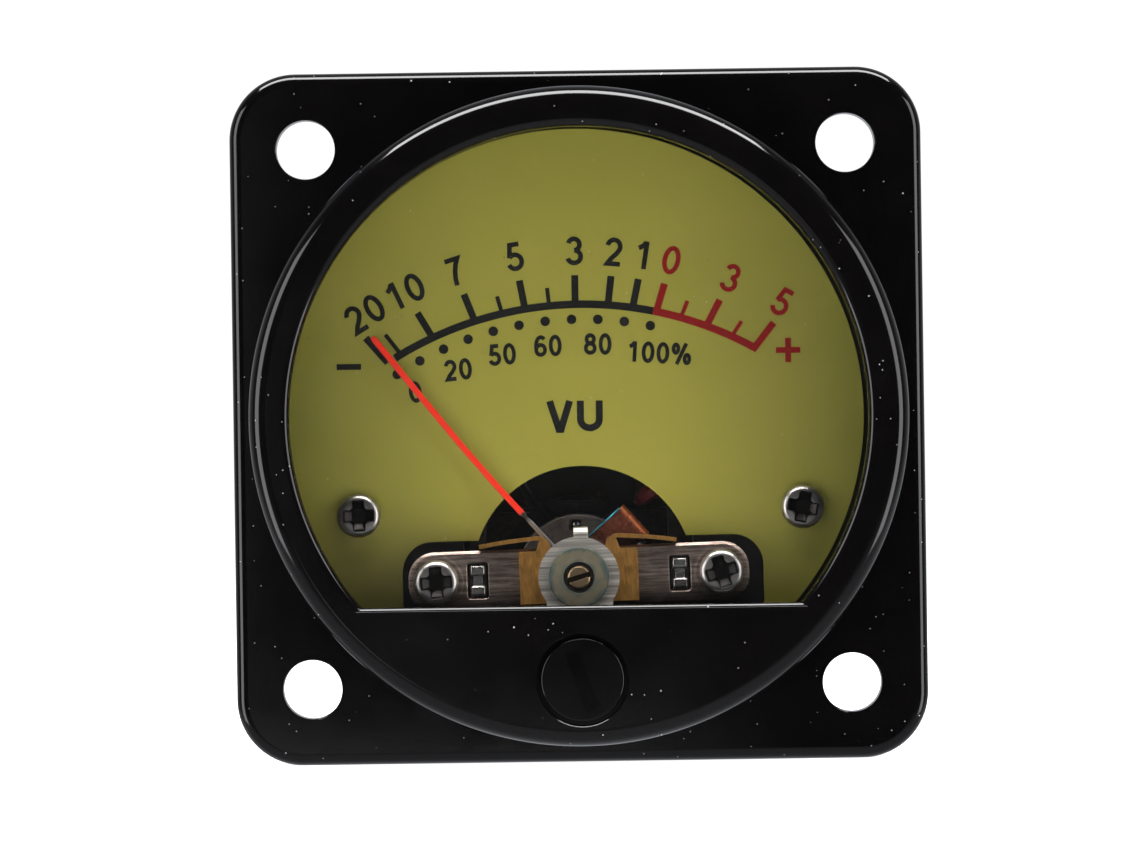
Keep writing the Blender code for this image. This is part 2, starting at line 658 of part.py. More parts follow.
def make_zero_adjuster():
    low, high = ARM_Z
    disc = 2.63
    fork_half, slot_half, fork_end = 1.15, ZERO_PIN_RADIUS + 0.1, -7.3
    start = -34.0
    rim = arc((0, 0), disc, start, 180 - start, 36)
    side = [(2.05, -2.3), (fork_half, -3.9), (fork_half, fork_end), (slot_half, fork_end), (slot_half, -5.1)]
    outline = rim + mirrored(side) + list(reversed(side))
    arm = solid(plate("zero_adjuster_arm", [outline, circle(1.2, count=24)], low, high, MOVEMENT))
    tab_left, tab_right = -0.25, 0.7
    join(arm, block("tab", (tab_left, 2.3, low + 0.02), (tab_right, 3.25, high - 0.02), MOVEMENT))
    join(arm, block("spring_tab", (tab_left + 0.02, 3.02, 2.95), (tab_right - 0.02, 3.24, high - 0.04), MOVEMENT))
    finish(arm, "brushed")

    top = COVER_FRONT - 0.1
    neck = CAVITY_TOP - FIT
    radius, shaft = ZERO_HEAD_RADIUS, ZERO_SHAFT_RADIUS
    profile = [(0, top), (radius - 0.15, top), (radius, top - 0.15), (radius, ZERO_RECESS_FLOOR + 0.1),
               (shaft, ZERO_RECESS_FLOOR + 0.1), (shaft, neck), (shaft + 0.4, neck),
               (shaft, neck - 0.35), (0, neck - 0.35)]
    screw = turned("zero_adjust_screw", profile, ZERO, segments=36)
    join(screw, cylinder("pin", ZERO_PIN_RADIUS, 4.45, 6.0, ZERO, (0, ZERO_PIN_OFFSET), 16))
    slot = block("slot", (-0.45, -1.95, top - 0.55), (0.45, 1.95, top + 1), ZERO)
    slot.rotation_euler[2] = math.radians(ZERO_SLOT_TILT)
    cut(screw, slot)
    finish(screw, "black_gloss")


# ---------------------------------------------------------------- swinging parts

def coil_loop(name, inner_reach, outer_reach, front_low, front_high, rear_low, rear_high, width):
    """A rectangular loop round the core, in the plane of the coil's long direction and the axis."""
    front = (front_high + rear_low) / 2
    outer = rounded_box(outer_reach, (front_high - rear_low) / 2, 0.5, (0, front), 3)
    inner_mid = (front_low + rear_high) / 2
    inner = rounded_box(inner_reach, (front_low - rear_high) / 2, 0.2, (0, inner_mid), 2)
    loop = plate(name, [outer, inner], -width / 2, width / 2, SWING)
    loop.rotation_euler = (math.radians(90), 0, math.radians(90 - COIL_SET))
    return loop


def make_swinging_parts():
    half = POINTER_WIDTH / 2
    needle = [(half, 1.0), *arc((0, POINTER_LENGTH - half), half, 0, 180, 6), (-half, 1.0)]
    finish(plate("pointer", [needle], 2.5, 2.7, SWING), "needle_red")

    low, high = HUB_Z
    arm_half, arm_end = 0.22, 1.75
    side = [(0.85, -arm_half), (arm_end, -arm_half), (arm_end, arm_half), (0.85, arm_half)]
    outline = []
    for turn in (180, 270, 0):
        angle = math.radians(turn)
        outline += [(x * math.cos(angle) - y * math.sin(angle), x * math.sin(angle) + y * math.cos(angle))
                    for x, y in side]
    outline += arc((0, 0), 0.88, 25, 155, 8)
    finish(plate("pointer_hub", [outline], low, high, SWING), "brass")
    for word, turn in (("left", 180), ("tail", 270), ("right", 0)):
        weight = cylinder("balance_weight_" + word, 0.28, 1.85, 2.5, SWING, segments=12)
        weight.rotation_euler = (0, math.radians(90), math.radians(turn))
        weight.location[2] = (low + high) / 2 * MM
        finish(weight, "brass")

    bobbin = coil_loop("coil_bobbin", 4.3, 4.5, 1.05, 1.25, -6.65, -6.45, COIL_WIDTH)
    finish(bobbin, "aluminium")
    winding = coil_loop("coil_winding", 4.6, COIL_REACH, 1.35, 2.15, -7.55, -6.75, COIL_WIDTH - 0.2)
    finish(winding, "enamelled_wire")
    finish(cylinder("rear_hub", 0.8, -8.1, -7.7, SWING, segments=20), "brass")
    front_pin = [(0, 3.4), (0.05, 3.38), (0.2, 3.2), (0.2, high + 0.08), (0, high + 0.08)]
    finish(turned("pivot_front", front_pin, SWING, segments=12), "brushed")
    rear_pin = [(0, -8.18), (0.2, -8.18), (0.2, -8.65), (0.05, -8.83), (0, -8.85)]
    finish(turned("pivot_rear", rear_pin, SWING, segments=12), "brushed")


# ---------------------------------------------------------------- backlight board and terminals

def make_board():
    holes = []
    for side in (-1, 1):
        holes.append(circle(0.7, (side * BOARD_SCREW[0], BOARD_SCREW[1]), 12))
        holes.append(circle(LAMP_PIN_RADIUS + 0.15, (side * LAMP_PIN[0], LAMP_PIN[1]), 12))
    outline = circle(BOARD_RADIUS, BOARD_CENTRE, 60)
    finish(solid(plate("backlight_board", [outline, *holes], BOARD_REAR, BOARD_FRONT)), "board_green")
    leds = {"upper": (9.0, 2.4), "lower": (9.4, -6.6)}
    low, high = BOARD_FRONT + 0.1, BOARD_FRONT + 0.9
    for row, (x, y) in leds.items():
        for side, word in ((-1, "left"), (1, "right")):
            led = block(f"led_{row}_{word}", (side * x - 1.4, y - 1.75, low), (side * x + 1.4, y + 1.75, high),
                        bevel=0.12)
            finish(led, "phosphor")
    resistor = block("series_resistor", (-1.6, 1.2, BOARD_REAR - 0.65), (1.6, 2.8, BOARD_REAR - 0.1), bevel=0.08)
    finish(resistor, "component_black")
    rectifier = block("signal_rectifier", (-2.4, -6.0, BOARD_REAR - 1.7), (2.4, -2.0, BOARD_REAR - 0.1),
                      bevel=0.15)
    finish(rectifier, "component_black")
    for side, word in ((-1, "left"), (1, "right")):
        spot = (side * BOARD_SCREW[0], BOARD_SCREW[1])
        pan_screw("board_screw_" + word, 1.1, BOARD_FRONT + 0.1, 0.55, -16.5, FACE, spot, 12)
        pin_end = CASE_BACK - 4.0
        radius = LAMP_PIN_RADIUS
        pin = [(0, BOARD_FRONT + 0.5), (radius, BOARD_FRONT + 0.5), (radius, pin_end + 0.3),
               (radius * 0.5, pin_end), (0, pin_end)]
        finish(turned("lamp_pin_" + word, pin, FACE, (side * LAMP_PIN[0], LAMP_PIN[1]), 12), "tinned")


def make_terminals():
    x, y = STUD_POSITION
    for side, word in ((-1, "left"), (1, "right")):
        spot = (side * x, y)
        end = CASE_BACK - 6.5
        head = [(0, CASE_FLOOR + 1.5), (2.5, CASE_FLOOR + 1.5), (2.5, CASE_FLOOR + 0.1),
                (STUD_RADIUS, CASE_FLOOR + 0.1), (STUD_RADIUS, end + 0.3), (STUD_RADIUS - 0.3, end), (0, end)]
        finish(turned("terminal_stud_" + word, head, FACE, spot), "brass")
        lug_high = CASE_BACK - 0.1
        tail = [(1.1, -2.5, 0.2), (1.1, -8.2, 1.0), (-1.1, -8.2, 1.0), (-1.1, -2.5, 0.2)]
        tail = list(reversed(rounded(tail, 4)))
        around = math.degrees(math.asin(2.5 / 2.75))
        ring = arc((0, 0), 2.75, -around, 180 + around, 24)
        lug = [(px + spot[0], py + spot[1]) for px, py in ring + tail]
        holes = [circle(STUD_RADIUS + 0.12, spot, 24), circle(0.6, (spot[0], spot[1] - 6.6), 12)]
        finish(solid(plate("solder_lug_" + word, [lug, *holes], lug_high - 0.5, lug_high)), "tinned")
        across = 5.5 / math.sqrt(3)
        hexagon = [(px + spot[0], py + spot[1]) for px, py in arc((0, 0), across, 30, 390, 6)[:-1]]
        nut_high = lug_high - 0.6
        nut = plate("terminal_nut_" + word, [hexagon, circle(STUD_RADIUS + 0.12, spot, 24)],
                    nut_high - 2.3, nut_high)
        finish(solid(nut), "brass")


def make_leads():
    red = [(6.5, 4.9, -5.2), (6.1, 5.4, -3.6), (5.0, 5.3, -2.2), (4.3, 4.8, -3.2), (4.3, 4.9, -6.5),
           (4.4, 5.6, -9.5), (4.4, 6.2, -11.45)]
    finish(wire("coil_lead_red", smooth_route(red), 0.5, MOVEMENT), "wire_red")
    black = [(-0.8, 3.1, -8.5), (-1.9, 4.0, -8.5), (-2.9, 5.0, -8.7), (-3.4, 5.8, -9.8), (-3.5, 6.2, -11.45)]
    finish(wire("coil_lead_black", smooth_route(black), 0.3, MOVEMENT), "wire_black")
    for side, word, colour in ((-1, "black", "wire_black"), (1, "red", "wire_red")):
        route = [(side * 4.6, 1.6, BOARD_REAR - 0.1), (side * 4.6, 1.7, -14.2), (side * 5.2, 1.6, -15.8),
                 (side * 6.8, 0.2, -16.8), (side * 7.6, -1.4, -17.1), (side * 7.6, -2.0, -17.85)]
        finish(wire("terminal_lead_" + word, smooth_route(route, 4), 0.5, FACE), colour)


make_front_cover()
make_window_lens()
make_rear_case()
make_dial()
make_carrier()
make_front_bridge()
make_yoke()
make_core()
make_stop_plate()
make_bearings()
make_hairsprings()
make_zero_adjuster()
make_swinging_parts()
make_board()
make_terminals()
make_leads()
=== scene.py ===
"""Looks of the moving-coil VU panel meter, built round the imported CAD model.

Shapes are drawn in millimetres in face coordinates: x to the right, y up, z towards the viewer, with
z = 0 on the flange's rear face. FACE, MOVEMENT, SWING and ZERO place them in the frame of the CAD model.
"""

import json
import math
import random

import bmesh
import bpy
from mathutils import Matrix, Vector

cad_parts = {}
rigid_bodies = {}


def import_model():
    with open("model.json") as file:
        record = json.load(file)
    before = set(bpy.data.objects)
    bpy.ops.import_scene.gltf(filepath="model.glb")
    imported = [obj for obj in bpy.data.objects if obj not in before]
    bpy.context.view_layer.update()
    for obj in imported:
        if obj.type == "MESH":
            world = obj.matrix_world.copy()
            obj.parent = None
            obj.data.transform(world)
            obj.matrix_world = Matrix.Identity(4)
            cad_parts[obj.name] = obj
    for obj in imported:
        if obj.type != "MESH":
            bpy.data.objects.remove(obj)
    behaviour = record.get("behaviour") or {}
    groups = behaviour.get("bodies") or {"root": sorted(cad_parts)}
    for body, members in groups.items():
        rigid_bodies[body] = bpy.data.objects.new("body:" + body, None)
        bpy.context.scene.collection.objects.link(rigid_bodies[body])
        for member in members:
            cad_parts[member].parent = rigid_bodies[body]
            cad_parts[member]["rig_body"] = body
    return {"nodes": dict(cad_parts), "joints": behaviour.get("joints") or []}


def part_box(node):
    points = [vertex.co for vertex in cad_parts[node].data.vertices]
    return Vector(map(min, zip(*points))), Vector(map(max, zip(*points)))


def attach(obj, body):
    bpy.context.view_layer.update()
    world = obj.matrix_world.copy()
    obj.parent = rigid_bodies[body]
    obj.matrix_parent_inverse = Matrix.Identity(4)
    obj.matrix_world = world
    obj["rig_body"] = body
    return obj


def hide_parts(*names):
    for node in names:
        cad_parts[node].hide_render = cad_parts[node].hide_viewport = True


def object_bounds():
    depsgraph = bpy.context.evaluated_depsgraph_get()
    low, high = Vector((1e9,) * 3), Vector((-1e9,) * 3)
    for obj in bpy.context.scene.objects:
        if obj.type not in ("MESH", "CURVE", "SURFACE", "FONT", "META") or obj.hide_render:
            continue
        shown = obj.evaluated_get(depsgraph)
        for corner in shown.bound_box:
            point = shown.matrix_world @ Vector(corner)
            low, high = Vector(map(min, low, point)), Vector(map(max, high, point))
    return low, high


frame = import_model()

CAD_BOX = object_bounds()
MM = 0.001
NODES = frame["nodes"]
JOINTS = {joint["name"]: joint for joint in frame["joints"]}
FLAT_FACE = 0.9998  # a face this square to its own frame is shaded flat


# ---------------------------------------------------------------- places, read from the CAD model

def span(node):
    """Lowest and highest corner of a CAD node in face coordinates, in millimetres."""
    low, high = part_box(node)
    return Vector((low.x, low.z, -high.y)) / MM, Vector((high.x, high.z, -low.y)) / MM


def middle(node):
    low, high = span(node)
    return (low + high) / 2


def joint_spot(name):
    x, _, z = JOINTS[name]["pos_m"]
    return x / MM, z / MM


def tilt_of(left, right):
    across = middle(right) - middle(left)
    return math.atan2(across.y, across.x)


def frame_at(spot=(0, 0), turn=0.0):
    return FACE @ Matrix.Translation((spot[0] * MM, spot[1] * MM, 0)) @ Matrix.Rotation(turn, 4, "Z")


FACE = Matrix.Rotation(math.radians(90), 4, "X")
PIVOT = joint_spot("pointer_swing")
ZERO_SPOT = joint_spot("zero_screw_turn")
MOVEMENT_TURN = tilt_of("bridge_screw_left", "bridge_screw_right")
MOVEMENT = frame_at(PIVOT, MOVEMENT_TURN)
ZERO = frame_at(ZERO_SPOT)
POINTER_HALF = 0.2  # half the needle's width
POINTER_LOW, POINTER_HIGH = span("pointer")
POINTER_TURN = math.atan2(PIVOT[0] - POINTER_LOW.x - POINTER_HALF, POINTER_HIGH.y - PIVOT[1] - POINTER_HALF)
SWING = frame_at(PIVOT, POINTER_TURN)

FLANGE_HALF = span("front_cover")[1].x
FLANGE_FRONT = 2.5
COVER_FRONT = span("front_cover")[1].z
CASE_BACK = span("rear_case")[0].z
DIAL_FRONT = span("dial_plate")[1].z
BRIDGE_FRONT = span("front_bridge")[1].z
BRIDGE_SCREW_X = 9.25
WINDOW_X = 6.55  # the bridge's small windows and the yoke's tenons in them
DIAL_SCREW = (14.45, -6.2)
BOARD_SCREW = (7.5, 6.5)
STUD = (7.6, -2)
LAMP_PIN = (2.54, 8.6)


# ---------------------------------------------------------------- outlines

def arc(centre, radius, start, end, count):
    """Points on an arc, both ends included. Angles are in degrees, counter-clockwise from +x."""
    points = []
    for i in range(count + 1):
        angle = math.radians(start + (end - start) * i / count)
        points.append((centre[0] + radius * math.cos(angle), centre[1] + radius * math.sin(angle)))
    return points


def circle(radius, centre=(0, 0), count=96):
    return arc(centre, radius, 0, 360, count)[:-1]


def rounded(corners, steps=8):
    """A polygon of (x, y, radius) corners with each corner turned into an arc of that radius."""
    points = []
    for i, (x, y, radius) in enumerate(corners):
        if radius == 0:
            points.append((x, y))
            continue
        before = corners[i - 1]
        after = corners[(i + 1) % len(corners)]
        to_before = math.atan2(before[1] - y, before[0] - x)
        to_after = math.atan2(after[1] - y, after[0] - x)
        turn = (to_after - to_before + math.pi) % (2 * math.pi) - math.pi
        reach = radius / math.tan(abs(turn) / 2)
        bisector = to_before + turn / 2
        away = radius / math.sin(abs(turn) / 2)
        centre = (x + away * math.cos(bisector), y + away * math.sin(bisector))
        first = (x + reach * math.cos(to_before), y + reach * math.sin(to_before))
        start = math.atan2(first[1] - centre[1], first[0] - centre[0])
        sweep = math.copysign(math.pi - abs(turn), -turn)
        for k in range(steps + 1):
            angle = start + sweep * k / steps
            points.append((centre[0] + radius * math.cos(angle), centre[1] + radius * math.sin(angle)))
    return points


def rounded_box(half_x, half_y, radius, centre=(0, 0), steps=8):
    x, y = centre
    corners = [(x + half_x, y - half_y), (x + half_x, y + half_y),
               (x - half_x, y + half_y), (x - half_x, y - half_y)]
    return rounded([(*corner, radius) for corner in corners], steps)


def d_outline(radius, flat_y):
    """A circle cut off below the line y = flat_y."""
    edge = math.degrees(math.asin(flat_y / radius))
    return arc((0, 0), radius, edge, 180 - edge, 240)


def cross(arm, half):
    """Corners of a plus sign; the third of every three is an inner one."""
    corners = []
    quarter = [(arm, -half), (arm, half), (half, half)]
    for _ in range(4):
        corners += quarter
        quarter = [(-y, x) for x, y in quarter]
    return corners


def mirrored(points):
    """The same outline on the other side of x = 0, run backwards."""
    return [(-x, y) for x, y in reversed(points)]


def turned_by(points, degrees, centre=(0, 0)):
    c, s = math.cos(math.radians(degrees)), math.sin(math.radians(degrees))
    return [(centre[0] + x * c - y * s, centre[1] + x * s + y * c) for x, y in points]


def smooth_route(stops, steps=8):
    """Catmull-Rom points through the stops."""
    padded = [stops[0], *stops, stops[-1]]
    points = []
    for a, b, c, d in zip(padded, padded[1:], padded[2:], padded[3:]):
        for i in range(steps):
            t = i / steps
            points.append(tuple(
                0.5 * (2 * q + (r - p) * t + (2 * p - 5 * q + 4 * r - s) * t * t
                       + (3 * q - p - 3 * r + s) * t ** 3)
                for p, q, r, s in zip(a, b, c, d)))
    points.append(tuple(stops[-1]))
    return points


# ---------------------------------------------------------------- solids

def shown(name, data):
    """A new object in the scene for a mesh, curve, light or camera."""
    obj = bpy.data.objects.new(name, data)
    bpy.context.scene.collection.objects.link(obj)
    return obj


def from_bmesh(name, bm):
    bmesh.ops.remove_doubles(bm, verts=bm.verts, dist=1e-7)
    bmesh.ops.recalc_face_normals(bm, faces=bm.faces)
    if bm.calc_volume(signed=True) < 0:
        bmesh.ops.reverse_faces(bm, faces=bm.faces)
    mesh = bpy.data.meshes.new(name)
    bm.to_mesh(mesh)
    bm.free()
    return shown(name, mesh)


def baked(obj):
    """The same object as a plain mesh, with its modifiers or curve settings carried out."""
    bpy.context.view_layer.update()
    graph = bpy.context.evaluated_depsgraph_get()
    mesh = bpy.data.meshes.new_from_object(obj.evaluated_get(graph))
    bm = bmesh.new()
    bm.from_mesh(mesh)
    name = obj.name
    obj.name = name + "_old"
    bpy.data.objects.remove(obj)
    return from_bmesh(name, bm)


def plate(name, outlines, low, high):
    """A flat sheet between two heights; the outlines after the first are its holes."""
    curve = bpy.data.curves.new(name, "CURVE")
    curve.dimensions = "2D"
    curve.fill_mode = "BOTH"
    curve.extrude = (high - low) / 2 * MM
    for outline in outlines:
        spline = curve.splines.new("POLY")
        spline.points.add(len(outline) - 1)
        for point, (x, y) in zip(spline.points, outline):
            point.co = (x * MM, y * MM, 0, 1)
        spline.use_cyclic_u = True
    made = baked(shown(name, curve))
    made.data.transform(Matrix.Translation((0, 0, (low + high) / 2 * MM)))
    return made


def turned(name, profile, spot=(0, 0), segments=96):
    """A turned piece about z. The (radius, height) profile runs down its outer side."""
    bm = bmesh.new()
    loops = []
    for radius, height in profile:
        if radius < 1e-9:
            loops.append([bm.verts.new((spot[0] * MM, spot[1] * MM, height * MM))])
            continue
        ring = circle(radius, spot, segments)
        loops.append([bm.verts.new((x * MM, y * MM, height * MM)) for x, y in ring])
    if profile[0][0] > 0:
        loops.append(loops[0])
    for upper, lower in zip(loops, loops[1:]):
        for i in range(segments):
            k = (i + 1) % segments
            around = (upper[i % len(upper)], lower[i % len(lower)],
                      lower[k % len(lower)], upper[k % len(upper)])
            corners = list(dict.fromkeys(around))
            if len(corners) > 2:
                bm.faces.new(corners)
    return from_bmesh(name, bm)


def loft(name, sections):
    """A closed solid through loops of (x, y, z) points with equal point counts."""
    bm = bmesh.new()
    loops = [[bm.verts.new((x * MM, y * MM, z * MM)) for x, y, z in section] for section in sections]
    bm.faces.new(reversed(loops[0]))
    bm.faces.new(loops[-1])
    for lower, upper in zip(loops, loops[1:]):
        for i in range(len(lower)):
            k = (i + 1) % len(lower)
            bm.faces.new((lower[i], lower[k], upper[k], upper[i]))
    return from_bmesh(name, bm)


def prism(name, levels):
    """A closed solid through (outline, height) levels."""
    return loft(name, [[(x, y, height) for x, y in outline] for outline, height in levels])


def block(name, low, high):
    (x0, y0, z0), (x1, y1, z1) = low, high
    return prism(name, [([(x0, y0), (x1, y0), (x1, y1), (x0, y1)], z) for z in (z0, z1)])


def cylinder(name, radius, low, high, spot=(0, 0), segments=48):
    return turned(name, [(0, high), (radius, high), (radius, low), (0, low)], spot, segments)


def wires(name, routes, radius, resolution=3, cyclic=False):
    """Round wires along routes of (x, y, z) points, as one object."""
    curve = bpy.data.curves.new(name, "CURVE")
    curve.dimensions = "3D"
    curve.bevel_depth = radius * MM
    curve.bevel_resolution = resolution
    curve.use_fill_caps = not cyclic
    for route in routes:
        spline = curve.splines.new("POLY")
        spline.points.add(len(route) - 1)
        for point, (x, y, z) in zip(spline.points, route):
            point.co = (x * MM, y * MM, z * MM, 1)
        spline.use_cyclic_u = cyclic
    return baked(shown(name, curve))


def combine(obj, other, operation):
    boolean = obj.modifiers.new("boolean", "BOOLEAN")
    boolean.operation = operation
    boolean.solver = "EXACT"
    boolean.object = other
    made = baked(obj)
    bpy.data.objects.remove(other)
    return made


def cut(obj, *cutters):
    for cutter in cutters:
        obj = combine(obj, cutter, "DIFFERENCE")
    return obj


def join(obj, *others):
    for other in others:
        obj = combine(obj, other, "UNION")
    return obj


def together(name, objects):
    """Separate closed solids kept as one object."""
    bm = bmesh.new()
    for obj in objects:
        bm.from_mesh(obj.data)
        bpy.data.objects.remove(obj)
    mesh = bpy.data.meshes.new(name)
    bm.to_mesh(mesh)
    bm.free()
    return shown(name, mesh)


def softened(obj, width, segments=3, angle=35.0):
    """Rounds every edge sharper than the angle."""
    edge = obj.modifiers.new("edge", "BEVEL")
    edge.width = width * MM
    edge.segments = segments
    edge.limit_method = "ANGLE"
    edge.angle_limit = math.radians(angle)
    return baked(obj)


# ---------------------------------------------------------------- materials

class Finish:
    """A node material built up in code; lengths in its coordinates are millimetres."""

    def __init__(self, name, roughness, metallic=0.0, **sockets):
        self.material = bpy.data.materials.new(name)
        self.material.use_nodes = True
        self.tree = self.material.node_tree
        self.shader = self.tree.nodes["Principled BSDF"]
        self.shader.inputs["Roughness"].default_value = roughness
        self.shader.inputs["Metallic"].default_value = metallic
        for socket, value in sockets.items():
            self.shader.inputs[socket.replace("_", " ")].default_value = value
        place = self.tree.nodes.new("ShaderNodeTexCoord")
        scale = self.tree.nodes.new("ShaderNodeVectorMath")
        scale.operation = "SCALE"
        scale.inputs["Scale"].default_value = 1 / MM
        self.link(place.outputs["Object"], scale.inputs[0])
        self.place = scale.outputs[0]

    def link(self, output, target):
        self.tree.links.new(output, target)

    def node(self, kind, **settings):
        made = self.tree.nodes.new("ShaderNode" + kind)
        for key, value in settings.items():
            setattr(made, key, value)
        return made

    def feed(self, socket, value):
        if isinstance(value, (int, float, tuple)):
            socket.default_value = value
        else:
            self.link(value, socket)

    def math(self, operation, *values):
        made = self.node("Math", operation=operation)
        for socket, value in zip(made.inputs, values):
            self.feed(socket, value)
        return made.outputs[0]

    def stretched(self, scale):
        mapping = self.node("Mapping")
        self.link(self.place, mapping.inputs["Vector"])
        mapping.inputs["Scale"].default_value = scale
        return mapping.outputs[0]

    def noise(self, scale, detail=3.0, stretch=None, roughness=0.5):
        made = self.node("TexNoise")
        self.link(self.place if stretch is None else self.stretched(stretch), made.inputs["Vector"])
        made.inputs["Scale"].default_value = scale
        made.inputs["Detail"].default_value = detail
        made.inputs["Roughness"].default_value = roughness
        return made.outputs["Fac"]

    def dots(self, scale, size, share):
        """1 inside sparse round specks, 0 elsewhere."""
        cells = self.node("TexVoronoi")
        self.link(self.place, cells.inputs["Vector"])
        cells.inputs["Scale"].default_value = scale
        near = self.math("LESS_THAN", cells.outputs["Distance"], size)
        split = self.node("SeparateColor")
        self.link(cells.outputs["Color"], split.inputs[0])
        picked = self.math("LESS_THAN", split.outputs[0], share)
        return self.math("MULTIPLY", near, picked)

    def axes(self):
        split = self.node("SeparateXYZ")
        self.link(self.place, split.inputs[0])
        return split.outputs

    def radius(self):
        """Distance from the piece's own z axis."""
        x, y, _ = self.axes()
        total = self.math("ADD", self.math("MULTIPLY", x, x), self.math("MULTIPLY", y, y))
        return self.math("SQRT", total)

    def spread(self, value, low, high, to_low=0.0, to_high=1.0):
        made = self.node("MapRange")
        self.feed(made.inputs["Value"], value)
        for socket, number in zip(("From Min", "From Max", "To Min", "To Max"), (low, high, to_low, to_high)):
            made.inputs[socket].default_value = number
        return made.outputs[0]

    def mix(self, share, first, second):
        made = self.node("Mix", data_type="RGBA")
        self.feed(made.inputs[0], share)
        for index, colour in ((6, first), (7, second)):
            self.feed(made.inputs[index], (*colour, 1.0) if isinstance(colour, tuple) else colour)
        return made.outputs[2]

    def colour(self, output):
        self.feed(self.shader.inputs["Base Color"], output)

    def rough(self, value, low, high):
        """Lets a noise value move the roughness between two figures."""
        self.link(self.spread(value, 0.25, 0.75, low, high), self.shader.inputs["Roughness"])

    def bump(self, height, distance, strength=1.0):
        """A bump of that distance in millimetres; a second call adds to the first."""
        made = self.node("Bump")
        self.link(height, made.inputs["Height"])
        made.inputs["Distance"].default_value = distance * MM
        made.inputs["Strength"].default_value = strength
        before = self.shader.inputs["Normal"].links
        if before:
            self.link(before[0].from_socket, made.inputs["Normal"])
        self.link(made.outputs[0], self.shader.inputs["Normal"])


def toned(colour, factor):
    return tuple(min(1.0, channel * factor) for channel in colour)


def gloss_black(name, specks=True):
    """Moulded black styrene: orange peel, faint sink waviness, smudges and dust."""
    made = Finish(name, 0.1, Specular_IOR_Level=0.42)
    smudge = made.noise(0.12, 4.0, roughness=0.6)
    made.rough(smudge, 0.05, 0.13)
    tone = made.mix(made.noise(0.35, 3.0), (0.0010, 0.0009, 0.0010), (0.0026, 0.0022, 0.0024))
    if specks:
        tone = made.mix(made.dots(1.6, 0.085, 0.045), tone, (0.34, 0.34, 0.36))
        tone = made.mix(made.dots(2.3, 0.10, 0.13), tone, (0.2, 0.2, 0.21))
    made.colour(tone)
    made.bump(made.noise(0.09, 1.0), 0.05, 0.35)
    made.bump(made.noise(3.0, 2.0), 0.0012, 0.4)
    return made.material


def moulded(name, colour, roughness=0.42):
    """Spark-textured moulded plastic."""
    made = Finish(name, roughness)
    grain = made.noise(9.0, 4.0, roughness=0.65)
    made.colour(made.mix(made.noise(0.5, 3.0), toned(colour, 0.7), toned(colour, 1.4)))
    made.rough(grain, roughness - 0.1, roughness + 0.12)
    made.bump(grain, 0.02, 0.5)
    made.bump(made.noise(0.6, 2.0), 0.05, 0.15)
    return made.material


def metal(name, colour, roughness, grain, depth, stretch=None, stain=None, metallic=1.0):
    """Machined, stamped or brushed metal; stretch pulls its scratches out along an axis."""
    made = Finish(name, roughness, metallic)
    scratches = made.noise(grain, 3.0, stretch, 0.7)
    patches = made.noise(0.8, 4.0)
    tone = made.mix(made.spread(scratches, 0.3, 0.7), toned(colour, 0.72), toned(colour, 1.15))
    tone = made.mix(made.spread(patches, 0.52, 0.75, 0.0, 0.7), tone, stain or toned(colour, 0.5))
    made.colour(tone)
    made.rough(scratches, roughness - 0.08, roughness + 0.14)
    made.bump(scratches, depth, 0.6)
    return made.material


def coated(name, colour, roughness, sheen=0.0):
    """Insulation, paint or enamel."""
    made = Finish(name, roughness, Coat_Weight=sheen, Coat_Roughness=0.2)
    wear = made.noise(3.5, 4.0)
    made.colour(made.mix(wear, toned(colour, 0.65), toned(colour, 1.3)))
    made.rough(wear, roughness - 0.1, roughness + 0.15)
    made.bump(wear, 0.008, 0.5)
    return made.material


def dial_face():
    """Translucent olive film with a painted pool of light over the middle and painted shade towards the sides
    and at the lower left, with a fine grain and a few specks of dust.
    """
    made = Finish("dial_olive", 0.5, Specular_IOR_Level=0.15)
    x, y, _ = made.axes()
    # Painted light and shade: the olive is painted brighter near the middle and darker towards both sides.
    side = made.math("ABSOLUTE", made.math("ADD", x, 1.0))
    tone = made.mix(made.spread(side, 6.0, 19.0), (0.243, 0.226, 0.0330), (0.178, 0.168, 0.0265))
    # Painted shade: the lower left of the dial is painted darker.
    painted_shade_low_left = made.math("MULTIPLY", made.spread(y, -5.0, -13.0), made.spread(x, 2.0, -10.0))
    tone = made.mix(painted_shade_low_left, tone, (0.115, 0.100, 0.028))
    cloud = made.noise(0.25, 3.0)
    tone = made.mix(made.spread(cloud, 0.4, 0.7, 0.0, 0.15), tone, (0.29, 0.245, 0.05))
    tone = made.mix(made.dots(2.5, 0.09, 0.03), tone, (0.42, 0.43, 0.3))
    tone = made.mix(made.dots(2.1, 0.08, 0.03), tone, (0.07, 0.06, 0.02))
    made.colour(tone)
    made.rough(made.noise(2.0, 3.0), 0.42, 0.6)
    made.bump(made.noise(14.0, 3.0), 0.004, 0.4)
    return made.material


def print_ink(name, colour):
    made = Finish(name, 0.5, Specular_IOR_Level=0.2)
    fleck = made.noise(10.0, 4.0)
    made.colour(made.mix(made.spread(fleck, 0.3, 0.8), toned(colour, 0.8), toned(colour, 1.5)))
    made.rough(made.noise(5.0, 3.0), 0.4, 0.62)
    made.bump(fleck, 0.004, 0.5)
    return made.material


def clear_lens():
    """Thin clear acrylic: mostly open, with a faint gloss and dust."""
    made = Finish("lens_clear", 0.05, Specular_IOR_Level=0.5)
    made.colour(made.mix(made.noise(0.4), (0.02, 0.02, 0.02), (0.05, 0.05, 0.05)))
    dust = made.dots(0.4, 0.022, 0.4)
    made.rough(made.noise(0.3), 0.03, 0.09)
    made.bump(made.noise(0.15), 0.01, 0.2)
    made.link(made.spread(dust, 0.0, 1.0, 0.045, 0.4), made.shader.inputs["Alpha"])
    return made.material


